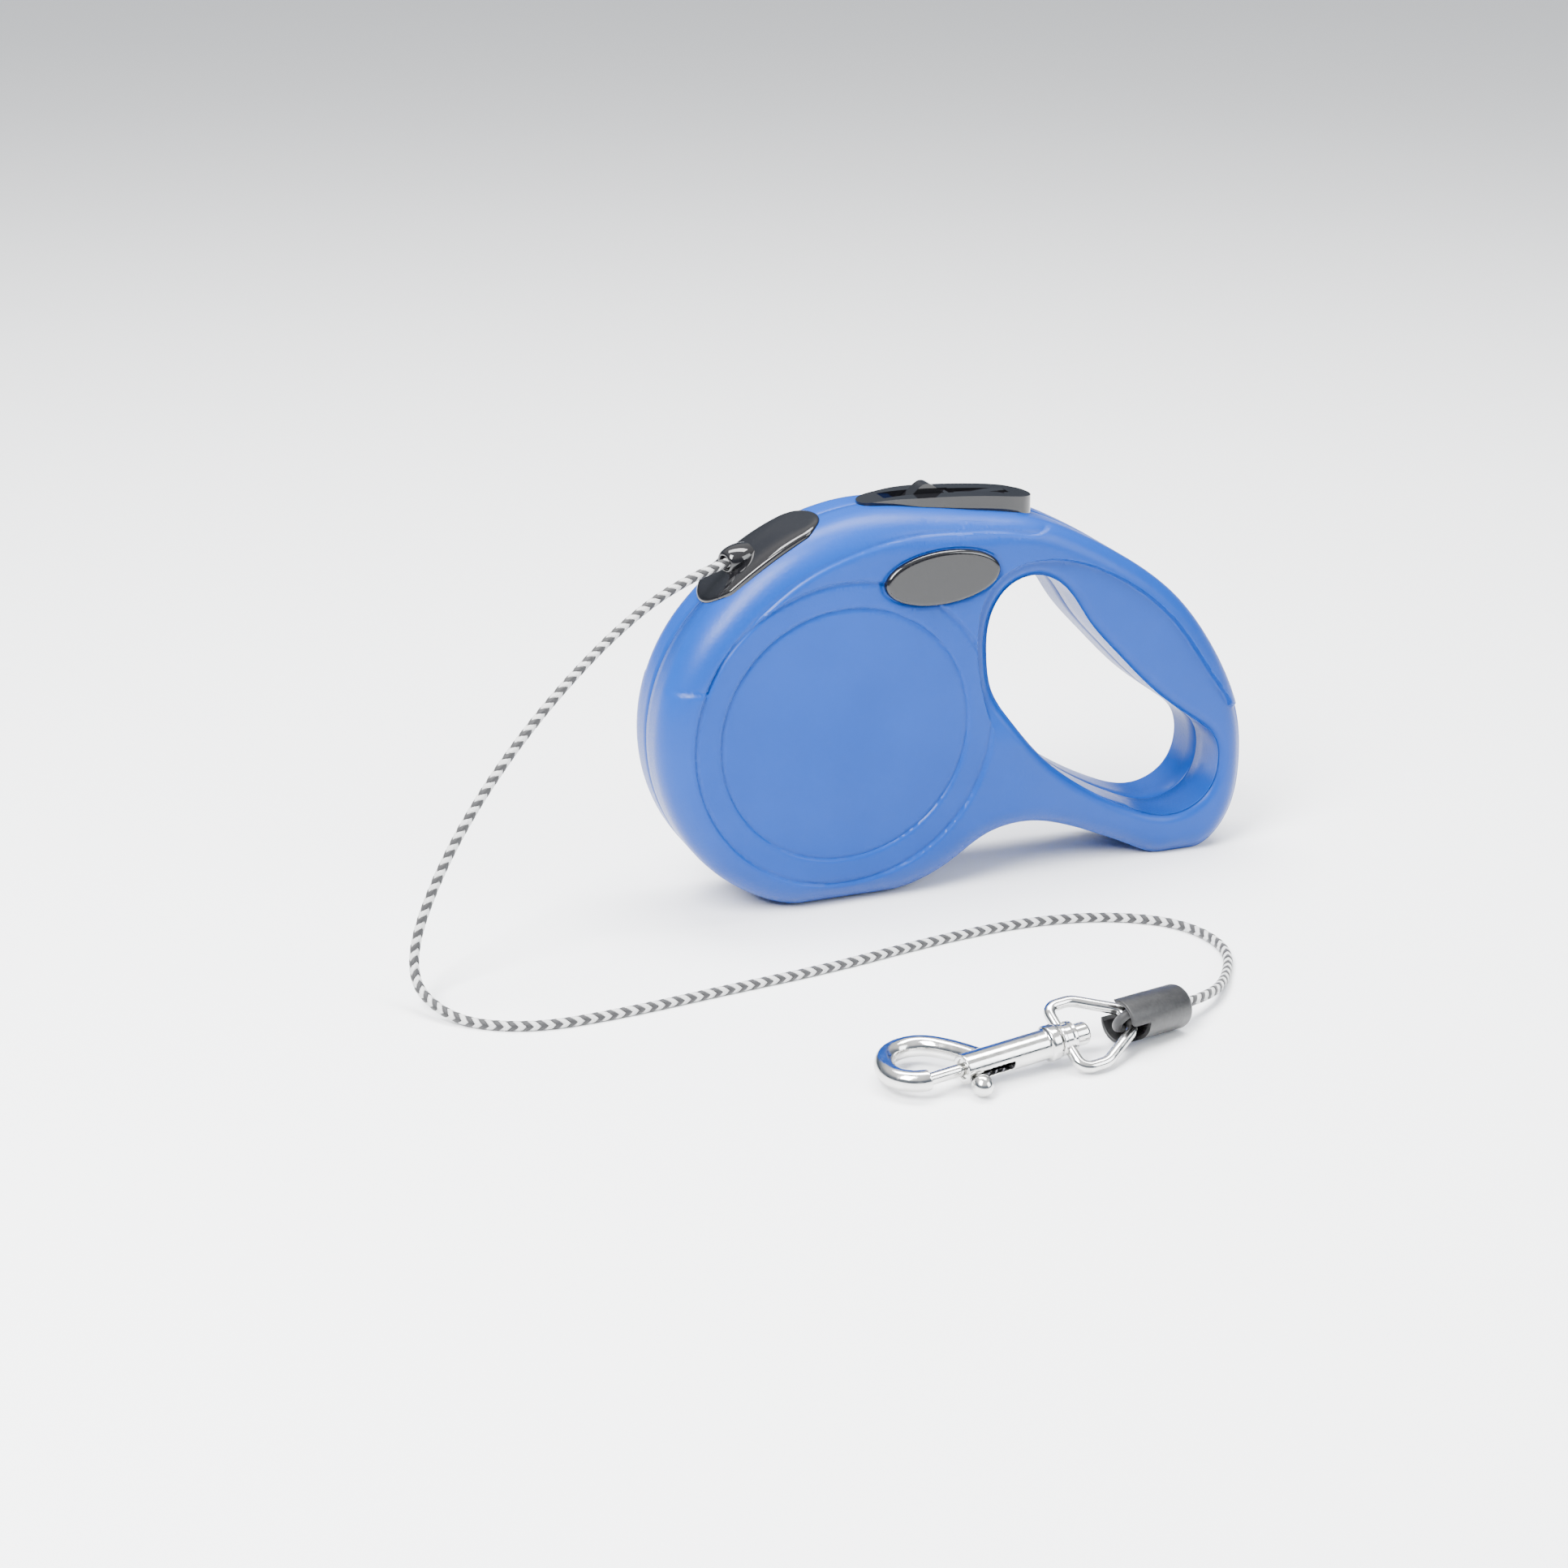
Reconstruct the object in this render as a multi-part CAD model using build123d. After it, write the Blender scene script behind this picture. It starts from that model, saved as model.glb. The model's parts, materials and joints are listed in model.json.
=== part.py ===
from build123d import *
import math
import os

os.makedirs("parts", exist_ok=True)

# Retractable cord leash, standing on its casing. Millimetres, +Z up, +X towards the handle.
# Shapes of the casing are drawn about the reel axis and moved at the end, so that the
# origin is on the floor under the middle of the casing.

# ---- driving dimensions -------------------------------------------------------------
CASE_RADIUS = 43.5          # round front of the casing
CASE_HALF = 14.0            # half the casing's thickness
FOOT_FLAT = 1.5             # how far the foot's flat cuts into the round front
WALL = 2.4                  # side wall of each shell
RIM_WALL = 8.5              # casing rim round the reel chamber
OUTER_ROUND = 5.0           # rounding of the casing's outer edges
GRIP_ROUND = 2.0            # rounding of the finger opening's edges
FREE_GAP = 0.35             # air between pieces that pass each other
LIP = 0.3                   # air at the end faces of turning and sliding pieces
RUNNING = 0.06              # radial clearance of a shaft in its bore

AXLE_RADIUS = 2.5
AXLE_SEAT = 1.2             # how deep the axle sits in each side wall
WASHER_THICK = 2.1
HUB_RADIUS = 14.0
FLANGE_THICK = 1.4
WINDING_WIDTH = 8.8
TEETH = 24
TOOTH_DEPTH = 3.4
TOOTH_CLEARANCE = 2.5       # tooth tips to the chamber wall
NOTCH_WIDTH = 3.3
CUP_RADIUS = 24.0
CUP_WALL = 1.4
LID_THICK = 0.9
ARBOR_WALL = 2.1
SPRING_STRIP = 0.5
SPRING_TURNS = 6
CORD_RADIUS = 1.0
CORD_ON_REEL = 2600.0       # cord left on the reel, out of 3 m
CORD_PACKING = 0.75

KEY_HALF = 6.0              # half the brake key's width
KEY_PIN_RADIUS = 1.2
KEY_PIN_SEAT = 3.5          # how far the pin goes into each shell beside the key
KEY_HUB = 2.3               # radius of the key's hub on its pin
KEY_WALL = 1.5
KEY_GAP = 0.55              # air round the key in its pocket
KEY_WEB = 3.0               # half width of the web between the hub and the key's top
SLIDER_HALF = 1.9
TAIL_HALF = 1.3
PAWL_TRAVEL = 3.0
PAWL_WIDTH = 2.4
PAWL_THICK = 2.2
PAWL_REST = 0.5             # pawl tip above the tooth tips at rest
PAWL_ANGLE = 45.0
LEG_HALF = 3.0

SCREW_RADIUS = 1.25
SCREW_HEAD = 2.1
SCREW_SINK = 0.8            # screw heads below the rear face
SCREW_HEAD_THICK = 1.4
SCREW_TIP = -8.0

BADGE_LONG = 14.0
BADGE_SHORT = 6.3
BADGE_TILT = 3.5
BADGE_RISE = 1.1
BADGE_SEAT = 0.5

NOZZLE_LONG = 16.5
NOZZLE_HALF = 9.0
NOZZLE_RISE = 0.9
NOZZLE_SLOPE = 30.0
EYELET_RING = 2.5
EYELET_WIRE = 0.9
EYELET_RISE = 1.2
HOOD_RADIUS = 4.2
HOOD_BACK = 3.0             # the hood's centre behind the eyelet

RING_WIRE = 1.25            # swivel ring
RING_HALF = 8.0
RING_END_HALF = 2.6
RING_LENGTH = 15.5
RING_TILT = 30.0
RING_CORNER = 2.4
BOSS_RADIUS = 3.4
BOSS_HALF = 1.9
BARREL_RADIUS = 3.15
BORE_RADIUS = 2.0
BARREL_LENGTH = 19.7
COLLAR_RADIUS = 3.8
COLLAR_LENGTH = 2.5
STUD_RADIUS = 1.5
STUD_HEAD = 2.4
STUD_HEAD_LENGTH = 3.2
STUD_SEAT = 2.5
ROD_RADIUS = 1.3
PISTON_LENGTH = 3.5
GATE_GAP = 7.8              # mouth of the barrel to the hook's tip
EYE_WIRE = 2.2
BOLT_TRAVEL = 8.0
KNOB_RADIUS = 2.2
KNOB_STEM = 0.75
KNOB_ANGLE = 20.0
SLEEVE_RADIUS = 4.75
SLEEVE_WALL = 0.8
SLEEVE_LENGTH = 18.5
SLEEVE_MOUTH = 3.0          # how far the sleeve covers the ring's end
SLEEVE_CAP = 2.0
SLOT_GAP = 1.6              # room for the ring to swing in the sleeve's slot

HOOK_PLACE = (-18.2, -103.5, 5.6)   # middle of the ring's boss, above the floor
HOOK_TURN = 7.5
HOOK_PITCH = 3.0
SLEEVE_TURN = 20.0
SLEEVE_LIFT = 0.1           # the sleeve's rear end above the floor

# The free cord after the eyelet, in the finished frame: through the air in one long
# curve, down to the floor, along it in front of the casing, and back to the sleeve.
ROUTE = [
    (-65.7, -4.4, 80.4), (-85.2, -10.4, 70.9), (-108.2, -17.2, 52.2), (-127.0, -23.0, 29.5),
    (-137.4, -27.0, 6.5), (-131.8, -42.0, 1.05), (-116.7, -51.8, 1.05), (-96.2, -51.4, 1.05),
    (-72.2, -48.2, 1.05), (-46.2, -45.4, 1.05), (-20.2, -40.0, 1.05), (3.8, -37.6, 1.05),
    (23.8, -41.4, 1.05), (37.4, -51.2, 1.05), (40.4, -66.4, 1.05), (32.6, -80.2, 1.05),
]
LAST_RUN = 10.5             # the cord's straight end behind the sleeve
TUCK = 3.0                  # the cord's start behind the eyelet

# ---- what follows from them ---------------------------------------------------------
# The casing's side view is drawn about the reel axis for a 43.5 mm front, then scaled.
SIDE = CASE_RADIUS / 43.5
REEL_HEIGHT = CASE_RADIUS - FOOT_FLAT
FOOT = -REEL_HEIGHT / SIDE
INSIDE = CASE_HALF - WALL
CHAMBER_RADIUS = CASE_RADIUS - RIM_WALL
TOOTH_TIP = CHAMBER_RADIUS - TOOTH_CLEARANCE
TOOTH_ROOT = TOOTH_TIP - TOOTH_DEPTH
FLANGE_RADIUS = TOOTH_ROOT
ARBOR_RADIUS = AXLE_RADIUS + ARBOR_WALL

FLANGE_FRONT = -INSIDE + WASHER_THICK + LIP
WINDING_FRONT = FLANGE_FRONT + FLANGE_THICK
WINDING_REAR = WINDING_FRONT + WINDING_WIDTH
WHEEL_REAR = WINDING_REAR + FLANGE_THICK
LID_REAR = INSIDE - 2 * LIP
LID_FRONT = LID_REAR - LID_THICK
PAWL_Y = (WINDING_REAR + WHEEL_REAR) / 2

KEY_NOSE = 7.2 * SIDE
KEY_HEEL = 49.6 * SIDE
KEY_PIVOT = (10.6 * SIDE, 46.4 * SIDE)
KEY_FLOOR = 40.2 * SIDE
LEG_FROM = 34.4 * SIDE
LEG_TO = 38.4 * SIDE
LEG_FOOT = 37.1 * SIDE
PAWL_TOP = LEG_FOOT - 0.5
BADGE_CENTRE = (22.5 * SIDE, 35.2 * SIDE)
NOZZLE_PLACE = (-17.2 * SIDE, 41.8 * SIDE)
EYELET_PLACE = (-24.4 * SIDE, -1.0, 39.9 * SIDE)
SCREW_PLACES = [(x * SIDE, z * SIDE)
                for x, z in ((0.5, 44.4), (57.5, 35.6), (45.0, -19.5), (88.0, -36.6))]

COLLAR_END = -BOSS_HALF - LIP
BARREL_END = COLLAR_END - COLLAR_LENGTH
BARREL_MOUTH = BARREL_END - BARREL_LENGTH
TIP = BARREL_MOUTH - GATE_GAP
BORE_END = BARREL_END - STUD_SEAT - 1.8
PISTON_FROM = BARREL_MOUTH + 0.5
PISTON_TO = PISTON_FROM + PISTON_LENGTH
STEM_X = PISTON_FROM + 1.3
KNOB_REACH = BARREL_RADIUS + KNOB_RADIUS + FREE_GAP
SLEEVE_REAR = SLEEVE_LENGTH - SLEEVE_MOUTH
SLEEVE_BORE = SLEEVE_RADIUS - SLEEVE_WALL
LOOP_RADIUS = RING_WIRE + CORD_RADIUS + LIP
LOOP_END = 6.0
CRIMP_LENGTH = 5.0


# ---- helpers ------------------------------------------------------------------------
def polar(radius, degrees):
    return radius * math.cos(math.radians(degrees)), radius * math.sin(math.radians(degrees))


def disc(radius, y_front, y_rear, x=0.0, z=0.0):
    """A round disc or pin lying along Y."""
    frame = Plane(origin=(x, y_rear, z), x_dir=(1, 0, 0), z_dir=(0, -1, 0))
    return Location(frame) * Cylinder(radius, y_rear - y_front,
                                      align=(Align.CENTER, Align.CENTER, Align.MIN))


def stand(face):
    """Turn a face drawn in X and Y up into the X-Z plane."""
    return face.rotate(Axis.X, 90)


def slab(face, y_front, y_rear):
    """A standing face given thickness along Y."""
    return extrude(Pos(0, y_rear, 0) * face, y_rear - y_front, dir=(0, -1, 0))


def box(x0, x1, y0, y1, z0, z1):
    return Pos((x0 + x1) / 2, (y0 + y1) / 2, (z0 + z1) / 2) * Box(x1 - x0, y1 - y0, z1 - z0)


def along_x(radius, x0, x1):
    """A round pin along local x."""
    return Pos(x0, 0, 0) * Rot(0, 90, 0) * Cylinder(
        radius, x1 - x0, align=(Align.CENTER, Align.CENTER, Align.MIN))


def tube_along(path, radius):
    return sweep(Plane(origin=path @ 0, z_dir=path % 0) * Circle(radius), path)


def coil(radius, wire, length, turns):
    """A compression spring standing on local z = 0."""
    pitch = (length - 2 * wire) / turns
    path = Helix(pitch, pitch * turns, radius)
    start = Plane(origin=path @ 0, z_dir=path % 0)
    return Pos(0, 0, wire) * sweep(start * Circle(wire), path, is_frenet=True)


# ---- casing outline -----------------------------------------------------------------
def scaled(points, k):
    return [(x * k, z * k) for x, z in points]


def curve(points, start, end):
    """A smooth curve through the points that sets off and arrives at the given angles."""
    tangents = [Vector(*polar(1, start)), Vector(*polar(1, end))]
    return Edge.make_spline([Vector(*p) for p in points], tangents=tangents, scale=False)


def outer_outline(grow=0.0):
    """The casing from the side: round front, top, handle back, foot, strut, drum foot."""
    k = SIDE * (1 + grow / CASE_RADIUS)
    r = CASE_RADIUS / SIDE
    lower, front, upper = scaled([polar(r, 240), polar(r, 188), polar(r, 137)], k)
    feet = scaled([(-9, FOOT), (12, FOOT), (84, FOOT), (92, FOOT)], k)
    over = scaled([(-17.5, 41.8), (-4, 48), (8, 50.2), (20, 49.6), (34, 47.6), (48, 45),
                   (60, 39.8), (72, 32.8), (84, 23.3), (93, 12), (99.6, 0), (103.2, -11),
                   (104, -20)], k)
    heel = scaled([(103.6, -27), (99.9, -36.9)], k)
    under = scaled([(75, -38.8), (66, -34.6), (56, -30.6), (46, -28.6), (37, -30.5),
                    (28, -36.6)], k)
    edges = [
        curve([feet[0], lower], 180, 150),
        ThreePointArc(lower, front, upper),
        curve([upper, *over, *heel, feet[3]], 47, 180),
        Line(feet[3], feet[2]),
        curve([feet[2], *under, feet[1]], 180, 180),
        Line(feet[1], feet[0]),
    ]
    return stand(make_face(Wire(edges)))


def opening_outline():
    """The finger opening: upright beside the reel, running down inside the grip."""
    points = scaled([(35, 14), (35.8, 24), (40.4, 30.6), (47.5, 32.4), (54, 29.2),
                     (60.5, 20.4), (69, 10.6), (80, -0.4), (90, -8), (95.4, -13),
                     (96.8, -20), (94, -27.2), (86, -31.2), (74, -28.3), (62, -21.8),
                     (50, -12.3), (41, -1.5), (36.4, 6)], SIDE)
    return stand(make_face(Wire([Spline(*points, periodic=True)])))


def rounded_half(grow=0.0):
    """The front half of the casing as one solid, with rounded outer and grip edges."""
    half = CASE_HALF + grow
    body = slab(outer_outline(grow), -half, 0)
    body = fillet(body.faces().sort_by(Axis.Y)[0].edges(), OUTER_ROUND + grow)
    body -= slab(opening_outline(), -half - 1, 1)
    side = body.faces().filter_by(GeomType.PLANE).sort_by(Axis.Y)[0]
    return fillet(side.inner_wires()[0].edges(), GRIP_ROUND)


def both_halves(half):
    return half + mirror(half, Plane.XZ)


FRONT_HALF = rounded_half()
SIDE_BOX = outer_outline().bounding_box()
HOME = Pos(-(SIDE_BOX.min.X + SIDE_BOX.max.X) / 2, 0, REEL_HEIGHT)


# ---- brake key, its slider and the pawl ---------------------------------------------
def key_profile():
    """Side view of the brake key."""
    top = scaled([(14, 51.5), (26, 51.4), (38, 50.5)], SIDE)
    bottom = scaled([(38, 45.4), (24, 46.8), (14, 48)], SIDE)
    nose = [(KEY_NOSE, 50.0 * SIDE), (KEY_NOSE, 50.7 * SIDE)]
    heel = [(KEY_HEEL, 48.9 * SIDE), (KEY_HEEL, 43.9 * SIDE)]
    edges = [Line(*nose), Spline(nose[1], *top, heel[0]), Line(*heel),
             Spline(heel[1], *bottom, nose[0])]
    return stand(make_face(Wire(edges)))


def key_plan(grow=0.0):
    """Plan of the key: a narrow rounded nose, straight sides and a round heel."""
    h = KEY_HALF + grow
    nose = KEY_NOSE - grow
    heel = KEY_HEEL + grow
    shoulder = nose + 15 * SIDE
    hip = heel - 9 * SIDE
    near = [Spline((nose, 0), (nose + 5.5 * SIDE, -0.72 * h), (shoulder, -h),
                   tangents=[(0, -1), (1, 0)]),
            Line((shoulder, -h), (hip, -h)),
            Spline((hip, -h), (heel - 2.2 * SIDE, -0.74 * h), (heel, 0),
                   tangents=[(1, 0), (0, 1)])]
    far = [edge for e in near for edge in mirror(e, Plane.XZ).edges()]
    return make_face(Wire(near + far))


def key_leg(grow=0.0):
    """The leg under the key that pushes the pawl."""
    half = LEG_HALF + grow
    return box(LEG_FROM - grow, LEG_TO + grow, PAWL_Y - half, PAWL_Y + half,
               LEG_FOOT - grow, 47 * SIDE)


def brake_key():
    inner = KEY_HALF - KEY_WALL
    x, z = KEY_PIVOT
    body = extrude(Pos(0, 0, KEY_FLOOR) * key_plan(), 16 * SIDE)
    body &= slab(key_profile(), -KEY_HALF - 1, KEY_HALF + 1)
    body += disc(KEY_HUB, -inner, inner, x, z)
    body += box(x - 0.5, x + KEY_HUB, -KEY_WEB, KEY_WEB, z, z + 3.1)
    body += key_leg()
    body -= disc(KEY_PIN_RADIUS + RUNNING, -KEY_HALF - 1, KEY_HALF + 1, x, z)
    slot = SLIDER_HALF + FREE_GAP
    groove = TAIL_HALF + FREE_GAP
    body -= box(12.8 * SIDE, 30 * SIDE, -slot, slot, 48.0 * SIDE, 56 * SIDE)
    body -= box(29.5 * SIDE, 44.0 * SIDE, -groove, groove, 49.1 * SIDE, 56 * SIDE)
    return body


def lock_slider():
    """Thumb ridge in the key's window, with a flat tail in the groove behind it."""
    crest = scaled([(16.6, 49.9), (20.5, 52.0), (23.2, 53.7), (25.2, 53.0), (27.4, 51.2),
                    (29.2, 50.9)], SIDE)
    base = scaled([(29.2, 50.9), (29.2, 48.3), (16.6, 48.3), (16.6, 49.9)], SIDE)
    ridge = stand(make_face(Wire([Spline(*crest), *Polyline(*base).edges()])))
    tail = box(28.8 * SIDE, 43.0 * SIDE, -TAIL_HALF, TAIL_HALF, 49.4 * SIDE, 50.3 * SIDE)
    return slab(ridge, -SLIDER_HALF, SLIDER_HALF) + tail


def brake_pawl(grow=0.0, longer=0.0):
    """A bar that drops into the reel's notches. Its top is level, under the key's leg."""
    start = TOOTH_TIP + PAWL_REST - grow
    length = 52 * SIDE - start + longer
    frame = Plane(origin=(0, PAWL_Y, 0), x_dir=(polar(1, PAWL_ANGLE)[0], 0,
                                                polar(1, PAWL_ANGLE)[1]), z_dir=(0, -1, 0))
    bar = Location(frame) * Pos(start + length / 2, 0, 0) * Box(
        length, PAWL_WIDTH + 2 * grow, PAWL_THICK + 2 * grow)
    return bar - box(0, 99 * SIDE, -CASE_HALF, CASE_HALF, PAWL_TOP + grow, 99 * SIDE)


def key_pocket():
    """Room in both shells for the key, its leg and their travel."""
    room = extrude(Pos(0, 0, KEY_FLOOR) * key_plan(KEY_GAP), 20 * SIDE)
    room -= box(0, 30.5 * SIDE, -CASE_HALF, CASE_HALF, 30 * SIDE, 43.6 * SIDE)
    hub = KEY_HALF - KEY_WALL + FREE_GAP
    room += disc(KEY_HUB + FREE_GAP, -hub, hub, *KEY_PIVOT)
    half = LEG_HALF + 1.3
    return room + box(LEG_FROM - 2.4, LEG_TO + 2.0, PAWL_Y - half, PAWL_Y + half,
                      PAWL_TOP - PAWL_TRAVEL, 44 * SIDE)


# ---- casing shells ------------------------------------------------------------------
def screw(x, z, clearance=0.0, head_to=CASE_HALF - SCREW_SINK):
    seat = CASE_HALF - SCREW_SINK - SCREW_HEAD_THICK
    shank = disc(SCREW_RADIUS, SCREW_TIP, seat, x, z)
    return shank + disc(SCREW_HEAD + clearance, seat, head_to, x, z)


def casing_screws():
    return Part() + [screw(x, z) for x, z in SCREW_PLACES]


def cord_hole():
    """The hole that the cord leaves the reel chamber by."""
    start = Vector(-8 * SIDE, EYELET_PLACE[1], CHAMBER_RADIUS - 3)
    frame = Plane(origin=start, z_dir=Vector(*EYELET_PLACE) - start)
    return Location(frame) * Cylinder(CORD_RADIUS + 0.7, 40,
                                      align=(Align.CENTER, Align.CENTER, Align.MIN))


def badge_oval(side, seat):
    oval = Pos(*BADGE_CENTRE) * Rot(0, 0, BADGE_TILT) * Ellipse(BADGE_LONG, BADGE_SHORT)
    return Pos(0, side * seat, 0) * stand(oval)


def badge(side):
    """A domed oval plate let into the side of the casing. side is -1 front, 1 rear."""
    seat = CASE_HALF - BADGE_SEAT
    plate = extrude(badge_oval(side, seat), BADGE_RISE + BADGE_SEAT, dir=(0, side, 0))
    crown = plate.faces().sort_by(Axis.Y)[-1 if side > 0 else 0]
    return fillet(crown.edges(), BADGE_RISE * 0.9)


def shell(side):
    """One half of the casing. side is -1 for the front, 1 for the rear."""
    body = FRONT_HALF if side < 0 else mirror(FRONT_HALF, Plane.XZ)
    body -= disc(CHAMBER_RADIUS, -INSIDE, INSIDE)
    body -= key_pocket()
    body -= brake_pawl(FREE_GAP, 2)
    body -= cord_hole()
    body -= extrude(badge_oval(side, CASE_HALF - BADGE_SEAT), 4, dir=(0, side, 0))
    body -= disc(AXLE_RADIUS, -INSIDE - AXLE_SEAT, INSIDE + AXLE_SEAT)
    reach = KEY_HALF + KEY_PIN_SEAT
    body -= disc(KEY_PIN_RADIUS, -reach, reach, *KEY_PIVOT)
    for x, z in SCREW_PLACES:
        body -= screw(x, z, 0.15, CASE_HALF + 2)
    return body.solids().sort_by(SortBy.VOLUME)[-1]


# ---- reel ---------------------------------------------------------------------------
def reel_drum():
    """Hub, front flange with lightening holes, and the notched rear wheel."""
    wheel = disc(TOOTH_TIP, WINDING_REAR, WHEEL_REAR)
    notch = box(TOOTH_ROOT, TOOTH_TIP + 1, WINDING_REAR - 1, WHEEL_REAR + 1,
                -NOTCH_WIDTH / 2, NOTCH_WIDTH / 2)
    for i in range(TEETH):
        wheel -= notch.rotate(Axis.Y, -PAWL_ANGLE + i * 360 / TEETH)
    body = disc(FLANGE_RADIUS, FLANGE_FRONT, WINDING_FRONT) + wheel
    body += disc(HUB_RADIUS, FLANGE_FRONT, WHEEL_REAR)
    window = (FLANGE_RADIUS - HUB_RADIUS) / 4
    for i in range(6):
        body -= disc(window, FLANGE_FRONT - 1, WINDING_FRONT,
                     *polar((FLANGE_RADIUS + HUB_RADIUS) / 2, 60 * i))
    return body - disc(AXLE_RADIUS + RUNNING, FLANGE_FRONT - 1, WHEEL_REAR + 1)


def spring_cup():
    return disc(CUP_RADIUS, WHEEL_REAR, LID_FRONT) - disc(
        CUP_RADIUS - CUP_WALL, WHEEL_REAR - 1, LID_FRONT + 1)


def spring_lid():
    return disc(CUP_RADIUS, LID_FRONT, LID_REAR) - disc(
        ARBOR_RADIUS + 1.0, LID_FRONT - 1, LID_REAR + 1)


def spring_arbor():
    return disc(ARBOR_RADIUS, WHEEL_REAR + LIP, INSIDE) - disc(
        AXLE_RADIUS, WHEEL_REAR, INSIDE + 1)


def mainspring():
    """A flat spiral strip between the arbor and the cup."""
    inner = ARBOR_RADIUS + FREE_GAP
    outer = CUP_RADIUS - CUP_WALL - FREE_GAP - SPRING_STRIP
    steps = SPRING_TURNS * 8

    def edge(extra):
        return [polar(inner + extra + (outer - inner) * i / steps, 45.0 * i)
                for i in range(steps + 1)]
    low = edge(0.0)
    high = edge(SPRING_STRIP)
    wire = Wire([Spline(*low), Line(low[-1], high[-1]), Spline(*high), Line(high[0], low[0])])
    return slab(stand(make_face(wire)), WHEEL_REAR + FREE_GAP, LID_FRONT - FREE_GAP)


def wound_cord():
    """The cord left on the reel, as one ring."""
    area = CORD_ON_REEL * math.pi * CORD_RADIUS ** 2 / CORD_PACKING / WINDING_WIDTH
    radius = math.sqrt(HUB_RADIUS ** 2 + area / math.pi)
    return disc(radius, WINDING_FRONT, WINDING_REAR) - disc(
        HUB_RADIUS, WINDING_FRONT - 1, WINDING_REAR + 1)


def axle_pin():
    return disc(AXLE_RADIUS, -INSIDE - AXLE_SEAT, INSIDE + AXLE_SEAT)


def thrust_washer():
    rear = FLANGE_FRONT - LIP
    return disc(6.0, -INSIDE, rear) - disc(AXLE_RADIUS, -INSIDE - 1, rear + 1)


# ---- nozzle -------------------------------------------------------------------------
EYELET_AT = (HOME * Pos(*EYELET_PLACE)).position
CORD_OUT = (Vector(*ROUTE[0]) - EYELET_AT).normalized()
EYELET_FRAME = Location(Plane(origin=EYELET_AT, z_dir=CORD_OUT))


def nozzle_plate():
    """A glossy oval plate that wraps over the rim, with a hood for the cord."""
    slope = polar(1, NOZZLE_SLOPE)
    frame = Plane(origin=(NOZZLE_PLACE[0], 0, NOZZLE_PLACE[1]), x_dir=(slope[0], 0, slope[1]),
                  z_dir=(-slope[1], 0, slope[0]))
    prism = extrude(Location(frame) * Pos(0, 0, -9) * SlotOverall(2 * NOZZLE_LONG,
                                                                  2 * NOZZLE_HALF), 24)
    core = both_halves(FRONT_HALF)
    plate = (both_halves(rounded_half(NOZZLE_RISE)) & prism) - core
    plate = HOME * plate.solids().sort_by(SortBy.VOLUME)[-1]
    hood = EYELET_FRAME * Pos(0, 0, -HOOD_BACK) * Sphere(HOOD_RADIUS)
    hood -= HOME * core
    bore = EYELET_FRAME * Pos(0, 0, -TUCK) * Cylinder(
        CORD_RADIUS + 0.4, 20, align=(Align.CENTER, Align.CENTER, Align.MIN))
    return (plate + hood) - bore - cord_eyelet()


def cord_eyelet():
    return EYELET_FRAME * Pos(0, 0, EYELET_RISE) * Torus(EYELET_RING, EYELET_WIRE)


# ---- free cord, its sleeve, and the hook --------------------------------------------
def place_of(turn, pitch, origin):
    """A frame whose local x is turned about Z, then pitched up."""
    cos_t, sin_t = polar(1, turn)
    cos_p, sin_p = polar(1, pitch)
    return Plane(origin=origin, x_dir=(cos_t * cos_p, sin_t * cos_p, sin_p),
                 z_dir=(-cos_t * sin_p, -sin_t * sin_p, cos_p))


HOOK_PLANE = place_of(HOOK_TURN, HOOK_PITCH, HOOK_PLACE)
RING_END = HOOK_PLANE.from_local_coords(Vector(RING_LENGTH, 0, 0))
SLEEVE_DROP = math.degrees(math.asin(
    (RING_END.Z - SLEEVE_RADIUS - SLEEVE_LIFT) / SLEEVE_REAR))
SLEEVE_PLANE = place_of(SLEEVE_TURN, -SLEEVE_DROP, RING_END)
HOOK_FRAME = Location(HOOK_PLANE)
RING_FRAME = HOOK_FRAME * Rot(RING_TILT, 0, 0)
SLEEVE_FRAME = Location(SLEEVE_PLANE)


def cord_path():
    points = [EYELET_AT - CORD_OUT * TUCK] + [Vector(*p) for p in ROUTE]
    points += [SLEEVE_PLANE.from_local_coords(Vector(SLEEVE_REAR + LAST_RUN, 0, 0)),
               SLEEVE_PLANE.from_local_coords(Vector(SLEEVE_REAR, 0, 0))]
    radii = []
    for a, b, c in zip(points, points[1:], points[2:]):
        turn = (b - a).get_angle(c - b)
        run = min((b - a).length, (c - b).length)
        radii.append(0.45 * run / math.tan(math.radians(turn / 2)))
    print("cord runs", [round((b - a).length, 1) for a, b in zip(points, points[1:])])
    print("cord radii", [round(r, 1) for r in radii])
    return FilletPolyline(*points, radius=radii)


def free_cord():
    path = cord_path()
    tube = tube_along(path, CORD_RADIUS)
    ideal = math.pi * CORD_RADIUS ** 2 * path.length
    print("cord length", round(path.length, 1), "volume ratio", round(tube.volume / ideal, 4))
    return tube


def swivel_ring():
    """A pear-shaped wire ring with a bored boss in its straight side."""
    h = RING_HALF
    e = RING_END_HALF
    path = FilletPolyline((0, -h), (0, h), (6, h), (RING_LENGTH, e), (RING_LENGTH, -e),
                          (6, -h), close=True, radius=RING_CORNER)
    body = tube_along(path, RING_WIRE) + along_x(BOSS_RADIUS, -BOSS_HALF, BOSS_HALF)
    return body - along_x(STUD_RADIUS + RUNNING, -9, 9)


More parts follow.
